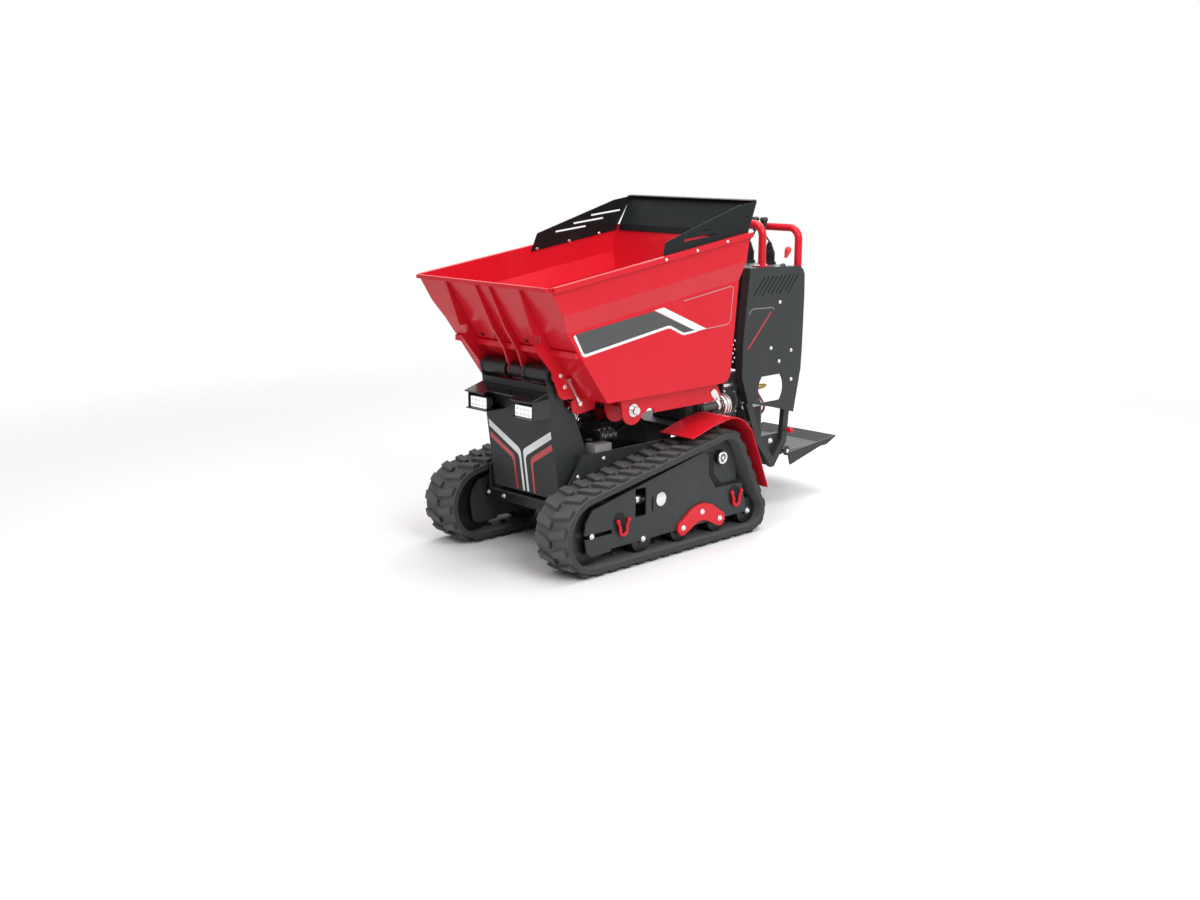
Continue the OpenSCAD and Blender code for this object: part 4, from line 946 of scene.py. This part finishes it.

# rings over the drive shafts, discs on the cross tube, black oval pads of painted shade on the frame's dark oval
# recesses, a black strip of painted shadow along the pocket's edges, and the tensioner in the frame's window
hubSizes = {"x": 0.028, "z": 0.345, "y": 0.396, "tube": (0.394, 0.4025, 0.236),
            "ovalShades": [(0.622, 0.183), (-0.044, 0.176)], "ovalShadeR": 0.030, "ovalShadeRise": 0.011,
            "pocketShadow": [(94, 374), (92, 282), (44, 216), (-94, 214), (-92, 231), (12, 233), (58, 278), (60, 372)],
            "tensioner": (0.424, 0.640), "tensionerY": 0.345, "tensionerZ": 0.240}


def stadium(x, z, r, rise, steps=12):
    out = []
    for start, lift in ((0.0, rise), (math.pi, -rise)):
        for i in range(steps + 1):
            a = start + math.pi * i / steps
            out.append((x + r * math.cos(a), z + lift + r * math.sin(a)))
    return out


def hubCovers():
    b = Build(brightSteel, pipeSteel, deepBlack, zincPlate)
    h = hubSizes
    for s in (1, -1):
        base = (h["x"], s * h["y"], h["z"])
        b.turned([(0.0165, 0.0), (0.0165, 0.005), (0.0185, 0.007), (0.0240, 0.007), (0.0262, 0.005), (0.0262, -0.001)],
                 base, (0, s, 0), 0, 40)
        b.turned([(0.0163, 0.0002), (0.0163, 0.0016), (0.0082, 0.0020)], base, (0, s, 0), 1, 32)
        b.turned([(0.0075, 0.0015), (0.0075, 0.0052), (0.0062, 0.0062), (0.0, 0.0062)], base, (0, s, 0), 3, 6)
        tx, ty, tz = h["tube"]
        b.turned([(0.0, 0.0), (0.0265, 0.0), (0.0268, 0.0012), (0.0250, 0.0022), (0.0, 0.0026)], (tx, s * ty, tz),
                 (0, s, 0), 0, 40)
        # black oval pads: painted shade for the frame's dark oval recesses
        for x, z in h["ovalShades"]:
            outline = [(s * px, pz) for px, pz in stadium(x, z, h["ovalShadeR"], h["ovalShadeRise"])]
            b.plate(outline, -0.0012, (0, s * 0.3976, 0), (s, 0, 0), (0, 0, 1), 2)
        # black strip along the pocket's left and lower edges: painted shadow of the recess edge
        pocketShadow = [(s * px * mm, pz * mm) for px, pz in h["pocketShadow"]]
        b.plate(pocketShadow, -0.002, (0, s * 0.3775, 0), (s, 0, 0), (0, 0, 1), 2)
        (x0, x1), y, z = h["tensioner"], s * h["tensionerY"], h["tensionerZ"]
        b.turned([(0.0, 0.0), (0.020, 0.0), (0.021, 0.002), (0.021, 0.066), (0.019, 0.069), (0.013, 0.070),
                  (0.0125, 0.090), (0.017, 0.091), (0.017, 0.104), (0.0125, 0.105), (0.0125, x1 - x0), (0.0, x1 - x0)],
                 (x0, y, z), (1, 0, 0), 3, 24)
    b.done("hubCovers", "chassis")


hubCovers()
print("track gear")

# tread studs on the platform
studSizes = {"x": (-0.880, -0.660), "half": 0.180, "z": 0.2398, "pitch": 0.0200}


def studShape():
    b = Build()
    b.turned([(0.0042, 0.0), (0.0038, 0.0007), (0.0028, 0.0011), (0.0, 0.0012)], (0, 0, 0), (0, 0, 1), 0, 12)
    return b.mesh("studShape")


nx = int((studSizes["x"][1] - studSizes["x"][0]) / studSizes["pitch"])
ny = int(2 * studSizes["half"] / studSizes["pitch"])
studs = [((studSizes["x"][0] + (i + 0.5) * studSizes["pitch"],
           (k - (ny - 1) / 2 + (0.25 if i % 2 else -0.25)) * studSizes["pitch"], studSizes["z"]), (0, 0, 1))
         for i in range(nx) for k in range(ny)]
scatter("platformStuds", studShape(), studs, platformGrip, "platform")
print("platform studs:", len(studs))

# hydraulics on the deck: manifold, valve group, hoses
valveSizes = {"low": (0.500, 0.171, 0.394), "high": (0.590, 0.231, 0.454), "groupX": (0.426, 0.530),
              "groupY": (0.140, 0.186), "groupZ": (0.4545, 0.492)}


def valveBank():
    b = Build(palePlate, pipeSteel, blackPlastic, blackPaint)
    (x0, y0, z0), (x1, y1, z1) = valveSizes["low"], valveSizes["high"]
    b.box((x0, y0, z0), (x1, y1, z1), 0, 0.003)
    (gx0, gx1), (gy0, gy1), (gz0, gz1) = valveSizes["groupX"], valveSizes["groupY"], valveSizes["groupZ"]
    b.box((gx0 - 0.004, gy0 - 0.004, gz0), (gx1 + 0.030, gy1 + 0.006, gz0 + 0.004), 3, 0.001, 1)
    b.box((gx0 + 0.012, gy0, gz0 + 0.003), (gx1 - 0.010, gy1, gz1), 2, 0.004)
    for i in range(3):
        x = gx0 + 0.026 + i * 0.028
        b.turned([(0.0, 0.0), (0.0105, 0.0), (0.0105, 0.010), (0.0075, 0.012), (0.0075, 0.019), (0.0, 0.019)],
                 (x, gy1 - 0.001, gz0 + 0.021), (0, 1, 0), 1, 18)
        b.turned([(0.009, 0.0), (0.009, 0.007), (0.006, 0.009), (0.0, 0.009)], (x, gy0 + 0.023, gz1 - 0.001),
                 (0, 0, 1), 1, 6)
    for y in (0.148, 0.168):
        b.turned([(0.010, 0.0), (0.010, 0.012), (0.008, 0.014), (0.0, 0.014)], (gx0 + 0.013, y, gz0 + 0.020),
                 (-1, 0, 0), 1, 6)
    b.done("valveBank", "chassis", ["valve_block"])


def smoothPath(points, per=10):
    pts = [Vector(p) for p in points]
    pts = [pts[0] * 2 - pts[1]] + pts + [pts[-1] * 2 - pts[-2]]
    out = []
    for a, p, q, c in zip(pts, pts[1:], pts[2:], pts[3:]):
        for k in range(per):
            t = k / per
            square, cube = 2 * a - 5 * p + 4 * q - c, 3 * p - a - 3 * q + c
            out.append(0.5 * (2 * p + (q - a) * t + square * t * t + cube * t ** 3))
    return out + [pts[-2]]


hoses = {
    "hoseFront": {"wide": 0.015, "mat": hoseRubber, "end": "object",
                  "route": [(0.428, 0.168, 0.4745), (0.385, 0.166, 0.482), (0.335, 0.158, 0.503),
                            (0.290, 0.152, 0.508), (0.254, 0.150, 0.486), (0.238, 0.150, 0.440),
                            (0.236, 0.150, 0.385), (0.236, 0.150, 0.310),
                            (0.236, 0.150, 0.2325)]},
    "hoseRear": {"wide": 0.015, "mat": hoseRubber, "end": "object",
                 "route": [(0.428, 0.148, 0.4745), (0.380, 0.142, 0.480), (0.320, 0.130, 0.500), (0.262, 0.124, 0.507),
                           (0.218, 0.122, 0.484), (0.200, 0.120, 0.440), (0.198, 0.120, 0.385), (0.198, 0.120, 0.310),
                           (0.198, 0.120, 0.2325)]},
    "hoseTank": {"wide": 0.011, "mat": redHose, "end": "fitting",
                 "route": [(-0.5105, 0.088, 0.392), (-0.536, 0.098, 0.398), (-0.553, 0.120, 0.420),
                           (-0.544, 0.138, 0.450), (-0.514, 0.147, 0.484), (-0.484, 0.150, 0.517),
                           (-0.470, 0.150, 0.537)]},
}


# brass tap at the end of the red hose, seen through the console's hole
tapSizes = {"place": (-0.440, 0.150, 0.549), "outlet": (-0.464, 0.150, 0.545), "outletAim": (-0.5, 0, -0.86)}


def brassTap():
    b = Build(dullBrass)
    b.turned([(0.0, -0.014), (0.010, -0.014), (0.0115, -0.010), (0.0115, 0.040), (0.0135, 0.042), (0.0135, 0.062),
              (0.0115, 0.064), (0.0115, 0.082), (0.007, 0.084), (0.0045, 0.087), (0.0045, 0.101), (0.0, 0.101)],
             tapSizes["place"], (-1, 0, 0), 0, 24)
    b.turned([(0.008, 0.0), (0.008, 0.014), (0.0065, 0.016), (0.0, 0.016)], tapSizes["outlet"],
             tapSizes["outletAim"], 0, 6)
    return b.done("brassTap", "chassis")


ends = {"hoseTank": [brassTap()]}
for name, facts in hoses.items():
    path = smoothPath(facts["route"])
    b = Build(facts["mat"])
    b.tube(path, facts["wide"] / 2, 0, 14)
    long = sum((q - p).length for p, q in zip(path, path[1:]))
    piece = b.done(name, "chassis")

valveBank()


# oil tank's filler, filter, drain plug and the pipe up to the tap
tankSizes = {"filler": (-0.420, 0.040, 0.464), "pipe": (-0.436, 0.146, 0.464), "filter": (-0.366, 0.118, 0.464),
             "plug": (-0.380, 0.1672, 0.380)}


def tankFittings():
    b = Build(blackPlastic, dullBrass, pipeSteel)
    t = tankSizes
    b.turned([(0.026, 0.0), (0.026, 0.010), (0.030, 0.011), (0.030, 0.022), (0.026, 0.026), (0.0, 0.027)],
             t["filler"], (0, 0, 1), 0, 30)
    b.turned([(0.010, 0.0), (0.010, 0.010), (0.008, 0.012), (0.008, 0.080), (0.0, 0.080)], t["pipe"],
             (0, 0, 1), 2, 20)
    b.turned([(0.030, 0.0), (0.030, 0.006), (0.034, 0.008), (0.034, 0.020), (0.032, 0.022), (0.032, 0.088),
              (0.035, 0.090), (0.035, 0.104), (0.030, 0.110), (0.014, 0.112), (0.014, 0.120), (0.0, 0.120)],
             t["filter"], (0, 0, 1), 0, 32)
    b.turned([(0.014, 0.0), (0.014, 0.004), (0.010, 0.005), (0.0, 0.0045)], t["plug"], (0, 1, 0), 1, 24)
    b.done("tankFittings", "chassis")


tankFittings()
print("hydraulics")
